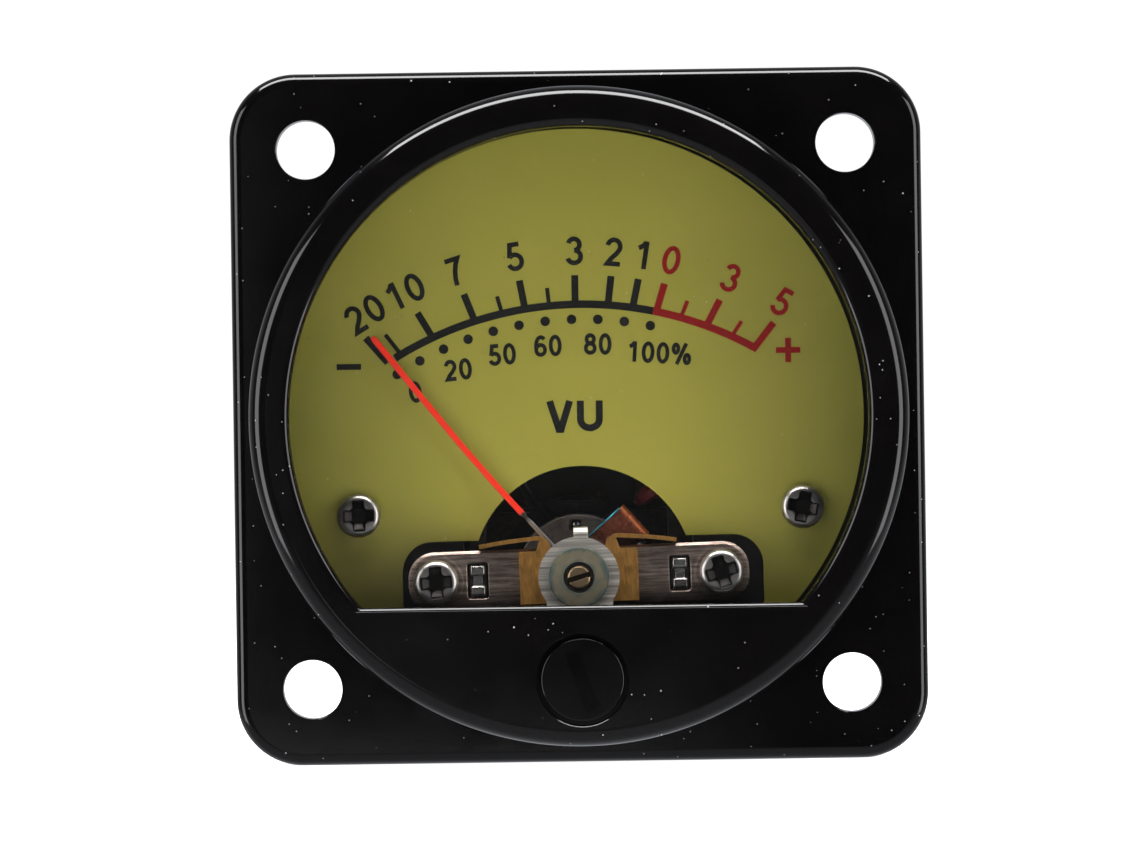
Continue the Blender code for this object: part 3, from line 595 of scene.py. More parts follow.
def painted_needle():
    """Red lacquer on an aluminium blade whose root is bare, with painted shade at the kink just below the
    paint.
    """
    made = Finish("needle", 0.45, Specular_IOR_Level=0.3)
    _, along, _ = made.axes()
    edge = made.math("ADD", along, made.spread(made.noise(4.0), 0.0, 1.0, -0.15, 0.15))
    paint = made.spread(edge, 5.45, 5.6)
    bare = made.mix(made.noise(9.0, 3.0, (4, 0.5, 1)), (0.28, 0.27, 0.26), (0.62, 0.6, 0.58))
    # Painted shade: a dark band on the bare root just below the paint, where the blade is kinked.
    bare = made.mix(made.spread(edge, 4.7, 5.1), bare, (0.09, 0.085, 0.08))
    red = made.mix(made.noise(2.5, 3.0), (0.62, 0.014, 0.004), (0.74, 0.026, 0.007))
    made.colour(made.mix(paint, bare, red))
    made.link(made.spread(edge, 5.45, 5.6, 0.9, 0.0), made.shader.inputs["Metallic"])
    made.rough(made.noise(5.0), 0.28, 0.45)
    made.bump(made.noise(6.0), 0.006, 0.5)
    return made.material


def fibre_washer():
    """Beige fibre with verdigris that has crept in from its rim and from the hole."""
    made = Finish("fibre_verdigris", 0.6)
    out = made.radius()
    patch = made.spread(made.noise(1.6, 3.0), 0.3, 0.7, -0.22, 0.22)
    rim = made.spread(made.math("ADD", out, patch), 1.72, 1.92)
    hole = made.spread(made.math("ADD", out, patch), 1.3, 1.1)
    green = made.math("MAXIMUM", rim, made.math("MULTIPLY", hole, 0.6))
    body = made.mix(made.noise(2.2, 4.0), (0.060, 0.050, 0.028), (0.125, 0.107, 0.062))
    made.colour(made.mix(green, body, (0.034, 0.052, 0.043)))
    made.rough(made.noise(6.0), 0.45, 0.7)
    made.bump(made.noise(7.0, 4.0), 0.01, 0.6)
    return made.material


def copper_turns():
    """Enamelled copper wire: dark red-brown on the flat, with a painted orange highlight where it turns over
    the end.
    """
    made = Finish("enamelled_copper", 0.3, 0.75)
    across, _, _ = made.axes()
    # Painted highlight: the wire is painted orange towards the far end, where it bends over.
    reach = made.spread(across, 4.75, 5.3)
    strand = made.noise(3.0, 3.0, (0.3, 8, 8))
    tone = made.mix(strand, (0.085, 0.024, 0.014), (0.24, 0.072, 0.040))
    made.colour(made.mix(reach, tone, (0.42, 0.12, 0.03)))
    made.rough(made.noise(5.0), 0.2, 0.42)
    made.bump(strand, 0.01, 0.5)
    return made.material


def board_mask():
    """Green solder mask over copper traces."""
    made = Finish("solder_mask", 0.35, Specular_IOR_Level=0.25)
    lanes = made.node("TexBrick")
    made.link(made.stretched((0.45, 0.45, 0.45)), lanes.inputs["Vector"])
    lanes.inputs["Mortar Size"].default_value = 0.06
    lanes.inputs["Scale"].default_value = 1.0
    tone = made.mix(made.noise(0.8), (0.002, 0.008, 0.003), (0.004, 0.015, 0.006))
    made.colour(made.mix(made.math("MULTIPLY", lanes.outputs["Fac"], 0.8), tone, (0.016, 0.045, 0.012)))
    made.rough(made.noise(4.0), 0.25, 0.45)
    made.bump(lanes.outputs["Fac"], 0.03, 0.6)
    return made.material


def teal_edge():
    """Aluminium bobbin whose front left edge carries a blue-green lacquer."""
    made = Finish("bobbin_lacquer", 0.3, 0.6)
    wash = made.noise(3.0, 3.0, (0.6, 2, 2))
    made.colour(made.mix(wash, (0.01, 0.14, 0.2), (0.05, 0.42, 0.5)))
    made.rough(wash, 0.18, 0.4)
    made.bump(made.noise(8.0), 0.008, 0.5)
    return made.material


def screw_metal():
    """Dark chrome on a screw head, with painted shade making it nearly black inside its recess; z = 0 is the
    top of the head.
    """
    made = Finish("nickel_screw", 0.3, 1.0)
    _, _, height = made.axes()
    patches = made.noise(0.9, 3.0)
    tone = made.mix(patches, (0.44, 0.415, 0.395), (0.56, 0.53, 0.505))
    # Painted shade: below the top and within the recess's reach the chrome is painted nearly black.
    recess_shade_depth = made.spread(height, -0.05, -0.12)
    inside = made.math("MULTIPLY", made.math("LESS_THAN", made.radius(), 1.14), recess_shade_depth)
    made.colour(made.mix(inside, tone, (0.022, 0.02, 0.019)))
    made.rough(made.noise(1.5, 2.0), 0.3, 0.38)
    made.bump(made.noise(2.0, 2.0), 0.0006, 0.4)
    return made.material


def rolled_strip():
    """Nickelled steel strip with fine lines along its length, and painted shade darkening it towards its
    lower edge.
    """
    made = Finish("nickel_rolled", 0.38, 1.0)
    _, up, _ = made.axes()
    lines = made.noise(3.0, 4.0, (0.12, 2.2, 1), 0.75)
    tone = made.mix(made.spread(lines, 0.38, 0.62), (0.19, 0.14, 0.115), (0.56, 0.445, 0.375))
    # Painted shade: the strip is painted darker towards its lower edge.
    tone = made.mix(made.spread(up, -0.2, -1.6), tone, (0.05, 0.037, 0.033))
    made.colour(made.mix(made.spread(made.noise(0.7, 3.0), 0.5, 0.8, 0.0, 0.6), tone, (0.16, 0.125, 0.11)))
    made.rough(lines, 0.38, 0.5)
    made.bump(lines, 0.02, 0.6)
    return made.material


def brushed_disc():
    """Light steel with straight fine lines across the disc."""
    made = Finish("steel_brushed", 0.5, 1.0)
    lines = made.noise(1.5, 3.0, (0.04, 4.2, 1), 0.6)
    tone = made.mix(made.spread(lines, 0.36, 0.64), (0.42, 0.385, 0.34), (0.96, 0.90, 0.81))
    made.colour(made.mix(made.spread(made.noise(0.8, 3.0), 0.5, 0.75, 0.0, 0.5), tone, (0.50, 0.465, 0.42)))
    made.rough(lines, 0.44, 0.58)
    made.bump(lines, 0.03, 0.7)
    return made.material


def slotted_brass():
    """Turned brass with painted shade making it dark below the head's face, in the slot and down the sides; z
    = 0 is the face.
    """
    made = Finish("brass_slotted", 0.34, 1.0)
    _, _, height = made.axes()
    lines = made.noise(2.0, 3.0, (0.5, 5, 1))
    tone = made.mix(lines, (0.36, 0.25, 0.13), (0.62, 0.45, 0.26))
    # Painted shade: everything below the face, the slot included, is painted dark.
    made.colour(made.mix(made.spread(height, -0.03, -0.1), tone, (0.05, 0.033, 0.018)))
    made.rough(lines, 0.3, 0.42)
    made.bump(lines, 0.006, 0.5)
    return made.material


NICKEL = (0.50, 0.475, 0.455)
BRASS = (0.68, 0.35, 0.09)
MATERIALS = {
    "black_gloss": gloss_black("moulded_black_gloss"),
    "black_gloss_plain": gloss_black("moulded_black_knob", False),
    "black_moulding": moulded("moulded_black", (0.009, 0.009, 0.0095)),
    "clear": clear_lens(),
    "dial": dial_face(),
    "ink_black": print_ink("print_black", (0.0075, 0.0075, 0.0065)),
    "ink_red": print_ink("print_red", (0.17, 0.002, 0.001)),
    "nickel": metal("nickel_plate", toned(NICKEL, 0.85), 0.22, 0.7, 0.0005, stain=(0.36, 0.33, 0.31)),
    "nickel_brushed": rolled_strip(),
    "nickel_screw": screw_metal(),
    "brushed": brushed_disc(),
    "soft_iron": metal("soft_iron", (0.07, 0.063, 0.057), 0.4, 3.0, 0.01),
    "magnet": metal("magnet_cast", (0.17, 0.142, 0.128), 0.44, 2.4, 0.012, metallic=0.85),
    "brass": metal("brass_strip", BRASS, 0.45, 2.0, 0.01, (7, 0.7, 1), (0.36, 0.2, 0.06)),
    "brass_turned": metal("brass_turned", (0.46, 0.335, 0.19), 0.34, 2.0, 0.006, (0.5, 5, 1),
                          (0.2, 0.15, 0.09)),
    "brass_slotted": slotted_brass(),
    "blued_steel": metal("blued_steel", (0.045, 0.043, 0.045), 0.34, 5.0, 0.006, metallic=0.9),
    "fibre": fibre_washer(),
    "ruby": coated("ruby", (0.42, 0.02, 0.05), 0.2, sheen=0.8),
    "needle_red": painted_needle(),
    "aluminium": metal("aluminium", (0.7, 0.7, 0.7), 0.4, 5.0, 0.008),
    "teal": teal_edge(),
    "enamelled_wire": copper_turns(),
    "bronze": metal("spring_bronze", (0.42, 0.25, 0.1), 0.32, 8.0, 0.004),
    "board_green": board_mask(),
    "phosphor": coated("phosphor", (0.72, 0.55, 0.1), 0.4, sheen=0.3),
    "component_black": moulded("epoxy_black", (0.014, 0.014, 0.015), 0.5),
    "tinned": metal("tinned", (0.62, 0.62, 0.6), 0.34, 4.0, 0.012),
    "solder": metal("solder_dull", (0.42, 0.30, 0.05), 0.5, 4.0, 0.02),
    "wire_red": coated("pvc_red", (0.12, 0.004, 0.005), 0.42),
    "wire_black": coated("pvc_black", (0.010, 0.010, 0.011), 0.4),
}


def piece(obj, matrix, finish, body, *nodes, sharp=30.0):
    """Shades a finished mesh, places it, lets it ride on its body and hides the CAD nodes it stands for."""
    obj.data.materials.clear()
    obj.data.materials.append(MATERIALS[finish])
    obj.data.shade_smooth()
    obj.data.set_sharp_from_angle(angle=math.radians(sharp))
    for face in obj.data.polygons:
        if abs(face.normal.z) > FLAT_FACE:
            face.use_smooth = False
    obj.matrix_world = matrix
    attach(obj, body)
    for node in nodes:
        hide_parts(node)
    return obj


def body_of(node):
    return NODES[node]["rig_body"]


# ---------------------------------------------------------------- housing

def make_cover():
    corner, edge, under = 4.3, 0.75, 0.12
    levels = [(rounded_box(FLANGE_HALF - under, FLANGE_HALF - under, corner - under, steps=24), 0.0),
              (rounded_box(FLANGE_HALF, FLANGE_HALF, corner, steps=24), under)]
    for step in range(9):
        angle = math.radians(90 * step / 8)
        inset = edge * (1 - math.cos(angle))
        height = FLANGE_FRONT - edge + edge * math.sin(angle)
        outline = rounded_box(FLANGE_HALF - inset, FLANGE_HALF - inset, corner - inset, steps=24)
        levels.append((outline, height))
    cover = prism("cover", levels)
    shoulder, wall_top, base, foot = 1.1, 21.3, 21.4, 0.06
    front = COVER_FRONT
    ring = [(0, front)]
    ring += arc((wall_top - shoulder, front - shoulder), shoulder, 90, 3, 14)
    ring += arc((base + foot, FLANGE_FRONT + foot), foot, 180, 262, 6)
    ring += [(base + foot - 0.04, FLANGE_FRONT - 0.4), (0, FLANGE_FRONT - 0.4)]
    cover = join(cover, turned("ring", ring, segments=288))
    cavity_top, seat_top = 5.7, 6.8
    cover = cut(cover, cylinder("cavity", 19.9, -1, cavity_top, segments=192))
    seat = d_outline(19.6, -13.8)
    cover = cut(cover, prism("seat", [(seat, cavity_top - 0.5), (seat, seat_top)]))
    radius, flat = 18.95, -12.2
    lip, flat_drop, flat_run = 0.5, 0.2, 0.25
    levels = [(radius - 0.3, flat, seat_top - 0.5)]
    for step in range(7):
        angle = math.radians(90 * step / 6)
        rise = lip * math.sin(angle)
        share = max(0.0, (rise - lip + flat_drop) / flat_drop)
        out = radius - 0.3 + lip * (1 - math.cos(angle))
        levels.append((out, flat - flat_run * share, front - lip + rise))
    levels.append((radius + lip, flat - flat_run * 2, front + 0.5))
    cover = cut(cover, prism("window", [(d_outline(r, y), z) for r, y, z in levels]))
    recess_radius, recess_floor, shaft_hole, lip = 3.0, 6.9, 1.35, 0.035
    recess = [(0, front + 1), (recess_radius + lip, front + 1), (recess_radius + lip, front),
              (recess_radius, front - lip), (recess_radius, recess_floor),
              (shaft_hole, recess_floor), (shaft_hole, cavity_top - 1), (0, cavity_top - 1)]
    cover = cut(cover, turned("recess", recess, ZERO_SPOT, 96))
    hole, spot, lip = 1.92, 35.1 / 2, 0.07
    profile = [(0, FLANGE_FRONT + 1), (hole + lip, FLANGE_FRONT + 1), (hole + lip, FLANGE_FRONT),
               (hole, FLANGE_FRONT - lip), (hole, lip), (hole + lip, 0), (hole + lip, -1), (0, -1)]
    for side_x in (-1, 1):
        for side_y in (-1, 1):
            cover = cut(cover, turned("hole", profile, (side_x * spot, side_y * spot), 72))
    piece(cover, FACE, "black_gloss", "case", "front_cover")

    low, high = span("window_lens")
    lens = prism("lens", [(d_outline(19.38, -13.55), low.z), (d_outline(19.43, -13.6), low.z + 0.05),
                          (d_outline(19.43, -13.6), high.z - 0.05), (d_outline(19.38, -13.55), high.z)])
    piece(lens, FACE, "clear", "case", "window_lens")


def make_rear_case():
    radius, inner, back, floor, rim_low, rim_high = 19.0, 17.8, CASE_BACK, -19.5, 0.1, 0.9
    rim = 19.7
    rounding = 0.8
    profile = [(0, floor), *arc((inner - 0.5, floor + 0.5), 0.5, -90, 0, 6), (inner, rim_high),
               (rim - 0.1, rim_high), (rim, rim_high - 0.1), (rim, rim_low), (radius, rim_low),
               *arc((radius - rounding, back + rounding), rounding, 0, -90, 10),
               (16.2, back), (16.0, back + 0.25), (14.6, back + 0.25), (14.4, back), (0, back)]
    case = turned("case_moulding", profile, segments=240)
    for side in (-1, 1):
        spots = [(side * x, y) for x, y in (DIAL_SCREW, BOARD_SCREW, STUD, LAMP_PIN)]
        dial_spot, board_spot, stud, pin = spots
        case = join(case, cylinder("post", 1.9, floor - 0.3, -1.75, dial_spot),
                    cylinder("post", 1.5, floor - 0.3, -12.95, board_spot))
        case = cut(case, cylinder("thread", 0.85, -8, 2, dial_spot, 32),
                   cylinder("thread", 0.65, -17, -12, board_spot, 32),
                   cylinder("hole", 1.65, back - 1, floor + 1, stud, 48),
                   cylinder("hole", 0.65, back - 1, floor + 1, pin, 32))
    for spot in ((0, 12.2), (12.2, 1.5), (0, -12.6), (-12.2, 1.5)):
        case = cut(case, cylinder("ejector_mark", 1.1, back - 1, back + 0.08, spot, 40))
    gate = [(0, back + 0.3), (0.9, back + 0.3), (1.3, back), (1.3, back - 1), (0, back - 1)]
    case = cut(case, turned("gate_well", gate, (0, 3.5), 48))
    case = join(case, cylinder("gate_stub", 0.32, back + 0.1, floor - 0.3, (0, 3.5), 24))
    piece(case, FACE, "black_moulding", "case", "rear_case")
    stroke, reach, proud = 0.28, 0.95, 0.12
    marks = []
    for side, arms in ((-1, 1), (1, 2)):
        spot = Vector((side * 7.6, 3.2))
        for arm in range(arms):
            half_x, half_y = (reach, stroke / 2) if arm == 0 else (stroke / 2, reach)
            outline = rounded_box(half_x, half_y, 0.06, spot, 3)
            marks.append(plate("mark", [outline], back - proud * (0.98 if arm else 1), back + 0.05))
    piece(together("terminal_signs", marks), FACE, "black_moulding", "case")


# ---------------------------------------------------------------- dial and its print

ARC_CENTRE = (0.1, -16.0)
ARC_RADIUS = 23.27
BAND = 0.5
INK = 0.012


def on_arc(degrees, radius):
    """A point at that angle right of straight up from the scale's centre."""
    angle = math.radians(degrees)
    return ARC_CENTRE[0] + radius * math.sin(angle), ARC_CENTRE[1] + radius * math.cos(angle)


def from_pivot(degrees, radius):
    """Where a ray from the pivot, that many degrees right of straight up, meets a circle about the
    scale's centre, and the ray's direction."""
    step = Vector((math.sin(math.radians(degrees)), math.cos(math.radians(degrees))))
    start = Vector(PIVOT) - Vector(ARC_CENTRE)
    along = start.dot(step)
    distance = -along + math.sqrt(along * along - start.length_squared + radius * radius)
    point = Vector(PIVOT) + step * distance
    return point, step


def band(name, start, end):
    outer = [on_arc(start + (end - start) * i / 60, ARC_RADIUS + BAND / 2) for i in range(61)]
    inner = [on_arc(start + (end - start) * i / 60, ARC_RADIUS - BAND / 2) for i in range(61)]
    return plate(name, [outer + inner[::-1]], DIAL_FRONT, DIAL_FRONT + INK)


def tick(degrees, inside, outside, width):
    start, step = from_pivot(degrees, ARC_RADIUS)
    side = Vector((step.y, -step.x)) * width / 2
    near, far = start - step * inside, start + step * outside
    return plate("tick", [[tuple(near - side), tuple(near + side), tuple(far + side), tuple(far - side)]],
                 DIAL_FRONT, DIAL_FRONT + INK * 1.1)


def oval(centre, half_x, half_y, start, end, count=20):
    """Points on an ellipse; angles are in degrees, counter-clockwise from +x."""
    points = arc((0, 0), half_x, start, end, count)
    return [(centre[0] + x, centre[1] + y * half_y / half_x) for x, y in points]


# Width of each character and the middle lines of its strokes, for a cap height of 1.
GLYPHS = {
    "0": (0.62, [oval((0.31, 0.5), 0.235, 0.43, 0, 360, 40)]),
    "1": (0.62, [[(0.12, 0.73), (0.22, 0.79), (0.31, 0.87), (0.36, 0.96)], [(0.39, 1.0), (0.39, 0.0)]]),
    "2": (0.62, [oval((0.31, 0.69), 0.225, 0.24, 172, -28)
                 + [(0.40, 0.42), (0.22, 0.24), (0.11, 0.07), (0.57, 0.07)]]),
    "3": (0.62, [oval((0.295, 0.725), 0.2, 0.205, 165, -88), oval((0.295, 0.295), 0.235, 0.225, 88, -165)]),
    "5": (0.62, [[(0.53, 0.93), (0.2, 0.93), (0.125, 0.47)], oval((0.3, 0.315), 0.24, 0.25, 138, -162)]),
    "6": (0.62, [oval((0.315, 0.31), 0.23, 0.24, 0, 360, 32),
                 oval((0.345, 0.5), 0.26, 0.43, 48, 180) + [(0.085, 0.3)]]),
    "7": (0.62, [[(0.07, 0.93), (0.55, 0.93), (0.42, 0.72), (0.33, 0.5), (0.27, 0.25), (0.25, 0.0)]]),
    "8": (0.62, [oval((0.31, 0.735), 0.195, 0.195, 0, 360, 32),
                 oval((0.31, 0.295), 0.235, 0.225, 0, 360, 32)]),
    "%": (1.0, [oval((0.2, 0.74), 0.125, 0.2, 0, 360, 28), oval((0.8, 0.26), 0.125, 0.2, 0, 360, 28),
                [(0.27, -0.02), (0.73, 1.02)]]),
    "V": (0.82, [[(0.08, 1.0), (0.375, 0.05), (0.445, 0.05), (0.74, 1.0)]]),
    "U": (0.84, [[(0.11, 1.0), (0.11, 0.38)] + oval((0.42, 0.38), 0.31, 0.29, 180, 360, 24) + [(0.73, 1.0)]]),
}
LETTER_GAP = 0.155


def stroke_outlines(path, width):
    """The outline of a stroke of that width along a path; a closed path gives an outer and an inner one."""
    closed = (Vector(path[0]) - Vector(path[-1])).length < 1e-6
    points = [Vector(p) for p in (path[:-1] if closed else path)]
    left, right = [], []
    for i, point in enumerate(points):
        before = points[i - 1] if closed or i else point
        after = points[(i + 1) % len(points)] if closed or i + 1 < len(points) else point
        toward, away = point - before, after - point
        toward = toward.normalized() if toward.length else away.normalized()
        away = away.normalized() if away.length else toward
        direction = (toward + away).normalized()
        reach = width / 2 / max(0.4, direction.dot(away))
        side = Vector((-direction.y, direction.x)) * reach
        left.append(tuple(point + side))
        right.append(tuple(point - side))
    return [left, right] if closed else [left + right[::-1]]


def lettering(text, height, spot, turn, weight, squeeze=1.0):
    """Flat sans-serif lettering of that cap height, centred on a spot, leaning clockwise by turn radians."""
    total = sum(GLYPHS[letter][0] for letter in text) + LETTER_GAP * (len(text) - 1)
    strokes = []
    pen = -total / 2
    for letter in text:
        advance, paths = GLYPHS[letter]
        for path in paths:
            placed = []
            for outline in stroke_outlines(path, weight):
                flat = [((x + pen) * height * squeeze, (y - 0.5) * height) for x, y in outline]
                placed.append(turned_by(flat, -math.degrees(turn), spot))
            lift = INK * (1 + 0.03 * len(strokes))
            strokes.append(plate("stroke", placed, DIAL_FRONT, DIAL_FRONT + lift))
        pen += advance + LETTER_GAP
    return together("lettering", strokes)


# Numeral, degrees right of straight up at the pivot, and tick; a mark may lack either.
SCALE_MARKS = (("", -41.0, "end"), ("", -37.9, "start"), ("10", -30.7, "long"), ("7", -21.4, "long"),
               ("", -15.5, "short"), ("5", -10.6, "long"), ("", -5.5, "short"), ("3", 0.0, "long"),
               ("2", 6.9, "long"), ("1", 12.1, "long"), ("20", -38.4, ""))
OVER_MARKS = (("0", 17.1, "long"), ("", 22.3, "short"), ("3", 27.8, "long"), ("", 33.3, "short"),
              ("", 38.3, "last"), ("5", 37.3, ""))
# Reach of each tick inside and outside the arc's middle line, and its width.
TICK_SHAPES = {"end": (0.0, 2.16, 0.47), "start": (0.1, 1.65, 0.27), "long": (0.1, 1.9, 0.46),
               "short": (0.1, 1.18, 0.27), "last": (0.23, 2.05, 0.46)}
NUMERAL_RADIUS = 26.75
NUMERAL_HEIGHT = 1.82
LABEL_HEIGHT = 1.33


def numeral(text, degrees):
    point, _ = from_pivot(degrees, NUMERAL_RADIUS)
    lean = math.atan2(point.x - ARC_CENTRE[0], point.y - ARC_CENTRE[1])
    return lettering(text, NUMERAL_HEIGHT, point, lean, 0.172)


def make_dial():
    shift = -0.16
    low, high = span("dial_plate")
    turn = tilt_of("dial_screw_left", "dial_screw_right")
    cutout_turn = math.degrees(MOVEMENT_TURN / 2)
    hump, half, top, bottom = 7.2, 11.75, 2.5, -4.9
    rise = math.degrees(math.asin(top / hump))
    arch = arc((0, 0), hump, rise, 180 - rise, 60)
    right = rounded([(half - 3, bottom, 0), (half, bottom, 1.0), (half, top, 2.0), (half - 3, top, 0)], 12)
    centre = (PIVOT[0] + 0.28, PIVOT[1])
    cutout = turned_by(right + arch + mirrored(right), cutout_turn, centre)
    spots = turned_by([(side * DIAL_SCREW[0], DIAL_SCREW[1]) for side in (-1, 1)], math.degrees(turn))
    holes = [circle(0.95, spot, 32) for spot in spots]
    dial = plate("dial", [circle(18.7, (shift, 0), 240), cutout, *holes], low.z, high.z)
    dial = softened(dial, 0.06, 2)
    piece(dial, FACE, "dial", "case", "dial_plate")

    junction = 11.95
    black = [band("band", -31.1, junction)]
    black += [tick(angle, *TICK_SHAPES[kind]) for _, angle, kind in SCALE_MARKS if kind]
    piece(together("scale_black", black), FACE, "ink_black", "case")
    red = [band("band", junction, 29.25)]
    red += [tick(angle, *TICK_SHAPES[kind]) for _, angle, kind in OVER_MARKS if kind]
    piece(together("scale_red", red), FACE, "ink_red", "case")

    black = [numeral(text, angle) for text, angle, _ in SCALE_MARKS if text]
    piece(together("numerals_black", black), FACE, "ink_black", "case")
    red = [numeral(text, angle) for text, angle, _ in OVER_MARKS if text]
    piece(together("numerals_red", red), FACE, "ink_red", "case")

    first, step, dot = -32.2, 4.42, 0.315
    dots = [plate("dot", [circle(dot, on_arc(first + step * i, 22.3), 32)], DIAL_FRONT, DIAL_FRONT + INK)
            for i in range(11)]
    piece(together("percent_dots", dots), FACE, "ink_black", "case")
    labels = {"0": -31.2, "20": -22.5, "50": -14.1, "60": -5.7, "80": 3.3, "100%": 14.5}
    texts = [lettering(text, LABEL_HEIGHT, on_arc(angle, 20.7), math.radians(angle * 0.25), 0.2, 0.94)
             for text, angle in labels.items()]
    piece(together("percent_labels", texts), FACE, "ink_black", "case")
    piece(lettering("VU", 1.95, (-0.25, 0.02), 0.0, 0.23, 1.02), FACE, "ink_black", "case").name = "unit_mark"

    arm, stroke = 0.8, 0.195
    minus = rounded_box(arm, stroke, 0.03, (-14.92, 3.4), 2)
    piece(plate("minus_sign", [minus], DIAL_FRONT, DIAL_FRONT + INK), FACE, "ink_black", "case")
    plus = [(x + 13.68, y + 4.1) for x, y in cross(arm, stroke)]
    piece(plate("plus_sign", [plus], DIAL_FRONT, DIAL_FRONT + INK), FACE, "ink_red", "case")


# ---------------------------------------------------------------- screws

# CAD node, head radius, shank radius and turn of the recess in degrees.
SCREWS = (("dial_screw_left", 1.42, 0.7, 2), ("dial_screw_right", 1.42, 0.7, -12),
          ("bridge_screw_left", 1.45, 0.65, 4), ("bridge_screw_right", 1.45, 0.65, 17),
          ("board_screw_left", 1.1, 0.55, 30), ("board_screw_right", 1.1, 0.55, 60))


def pan_screw(node, head, shank, turn):
    """A pan head screw with a tapered cross recess, drawn in its own frame with the head's top at z = 0."""
    low, high = span(node)
    top, rear, end = 0.0, -0.9, low.z - high.z
    profile = [(0, top)]
    profile += [(head * 0.62 * i / 4, top - 0.02 * (i / 4) ** 2) for i in range(1, 5)]
    profile += arc((head - 0.46, top - 0.5), 0.46, 78, 0, 10)
    profile += [(head, rear + 0.12), (head - 0.1, rear), (shank, rear)]
    pitch, z = 0.4, rear - 0.1
    while z > end + 0.5:
        profile += [(shank, z), (shank * 0.8, z - pitch / 2)]
        z -= pitch
    profile += [(shank * 0.55, end), (0, end)]
    screw = turned(node + "_fine", profile, segments=96)
    arm, half, corner = head * 0.72, head * 0.29, head * 0.17
    radii = (corner / 2, corner / 2, corner) * 4
    levels = []
    for share, height in ((1.02, top + 0.3), (1.0, top - 0.05), (0.86, top - 0.4), (0.45, top - 0.7)):
        corners = cross(arm * share, half * (0.5 + share / 2))
        recess = rounded([(x, y, radius) for (x, y), radius in zip(corners, radii)], 5)
        levels.append((turned_by(recess, turn), height))
    screw = softened(cut(screw, prism("recess", levels)), 0.045, 2, 40)
    place = frame_at(middle(node)) @ Matrix.Translation((0, 0, high.z * MM))
    piece(screw, place, "nickel_screw", body_of(node), node)


# ---------------------------------------------------------------- movement

def make_bridge():
    low, high = span("front_bridge")
    rear, front = low.z, high.z
    half_x, half_y, corner = 11.05, 1.95, 1.7
    inset, drop = 0.17, 0.125
    levels = [(0.1, rear), (0.0, rear + 0.1), (0.0, front - drop), (inset, front)]
    levels = [(rounded_box(half_x - d, half_y - d, corner - d, steps=16), z) for d, z in levels]
    bridge = prism("bridge", levels)
    bridge = cut(bridge, cylinder("hole", 0.85, rear - 1, front + 1))
    for side in (-1, 1):
        window = [(rounded_box(0.68 + d, 1.14 + d, 0.2 + d, (side * WINDOW_X, 0), 6), z)
                  for d, z in ((0, rear - 1), (0, front - 0.07), (0.07, front), (0.07, front + 1))]
        bridge = cut(bridge, cylinder("hole", 0.75, rear - 1, front + 1, (side * BRIDGE_SCREW_X, 0)),
                     prism("window", window))
    piece(bridge, MOVEMENT, "nickel_brushed", "case", "front_bridge")
    for side, word in ((-1, "left"), (1, "right")):
        rim = [(1.78, front - 0.05), (1.76, front + 0.02), (1.68, front + 0.045), (1.56, front + 0.03),
               (1.52, front - 0.05)]
        rim = turned("stamped_rim_" + word, rim, (side * BRIDGE_SCREW_X, 0), 96)
        piece(rim, MOVEMENT, "nickel_brushed", "case")


def make_yoke():
    """Two side plates on a back plate; each tenon is staked into two lobes in its window of the bridge."""
    back, thick, half = span("yoke")[0].z, 1.2, 4.2
    shoulder, neck, tenon = span("front_bridge")[0].z - 0.15, 1.85, 1.1
    waist = BRIDGE_FRONT - 0.22
    bend = span("movement_carrier")[0].z
    base = rounded_box(WINDOW_X + thick / 2, half, 0.4, steps=6)
    small = rounded_box(WINDOW_X + thick / 2 - 0.1, half - 0.1, 0.3, steps=6)
    levels = [(small, back), (base, back + 0.1), (base, back + thick - 0.1), (small, back + thick)]
    yoke = prism("yoke_iron", levels)
    side_plate = [(half - 0.1, back + 0.3), (half - 0.1, bend - 0.6), (neck, bend - 0.2), (neck, shoulder),
                  (tenon, shoulder), (tenon, waist)]
    outline = side_plate + mirrored(side_plate)
    for side in (-1, 1):
        wall = [[(side * WINDOW_X + x, y, z) for y, z in outline] for x in (-0.55, 0.55)]
        yoke = join(yoke, loft("wall", wall))
    yoke = cut(yoke, cylinder("hole", 0.85, back - 1, back + 2))
    piece(softened(yoke, 0.05, 2), MOVEMENT, "soft_iron", "case", "yoke")
    for side, word in ((-1, "left"), (1, "right")):
        lobes = []
        for end in (-1, 1):
            levels = [(rounded_box(0.5 - d, 0.36 - d, 0.14 - d / 2, (side * WINDOW_X, end * 0.66), 5), z)
                      for d, z in ((0, waist - 0.2), (0, BRIDGE_FRONT - 0.1), (0.1, BRIDGE_FRONT + 0.02),
                                   (0.2, BRIDGE_FRONT + 0.04))]
            lobes.append(prism("lobe", levels))
        between = block("waist", (side * WINDOW_X - 0.3, -0.4, waist - 0.2),
                        (side * WINDOW_X + 0.3, 0.4, BRIDGE_FRONT - 0.06))
        stake = softened(join(*lobes, between), 0.04, 2)
        piece(stake, MOVEMENT, "nickel", "case").name = "staked_tenon_" + word


def ribbon(name, path, low, high, thick):
    """A strip on edge that follows a path of (x, y) points."""
    left, right = [], []
    for i, (x, y) in enumerate(path):
        before, after = path[max(i - 1, 0)], path[min(i + 1, len(path) - 1)]
        direction = Vector((after[0] - before[0], after[1] - before[1])).normalized() * thick / 2
        left.append((x - direction.y, y + direction.x))
        right.append((x + direction.y, y - direction.x))
    return plate(name, [left + right[::-1]], low, high)


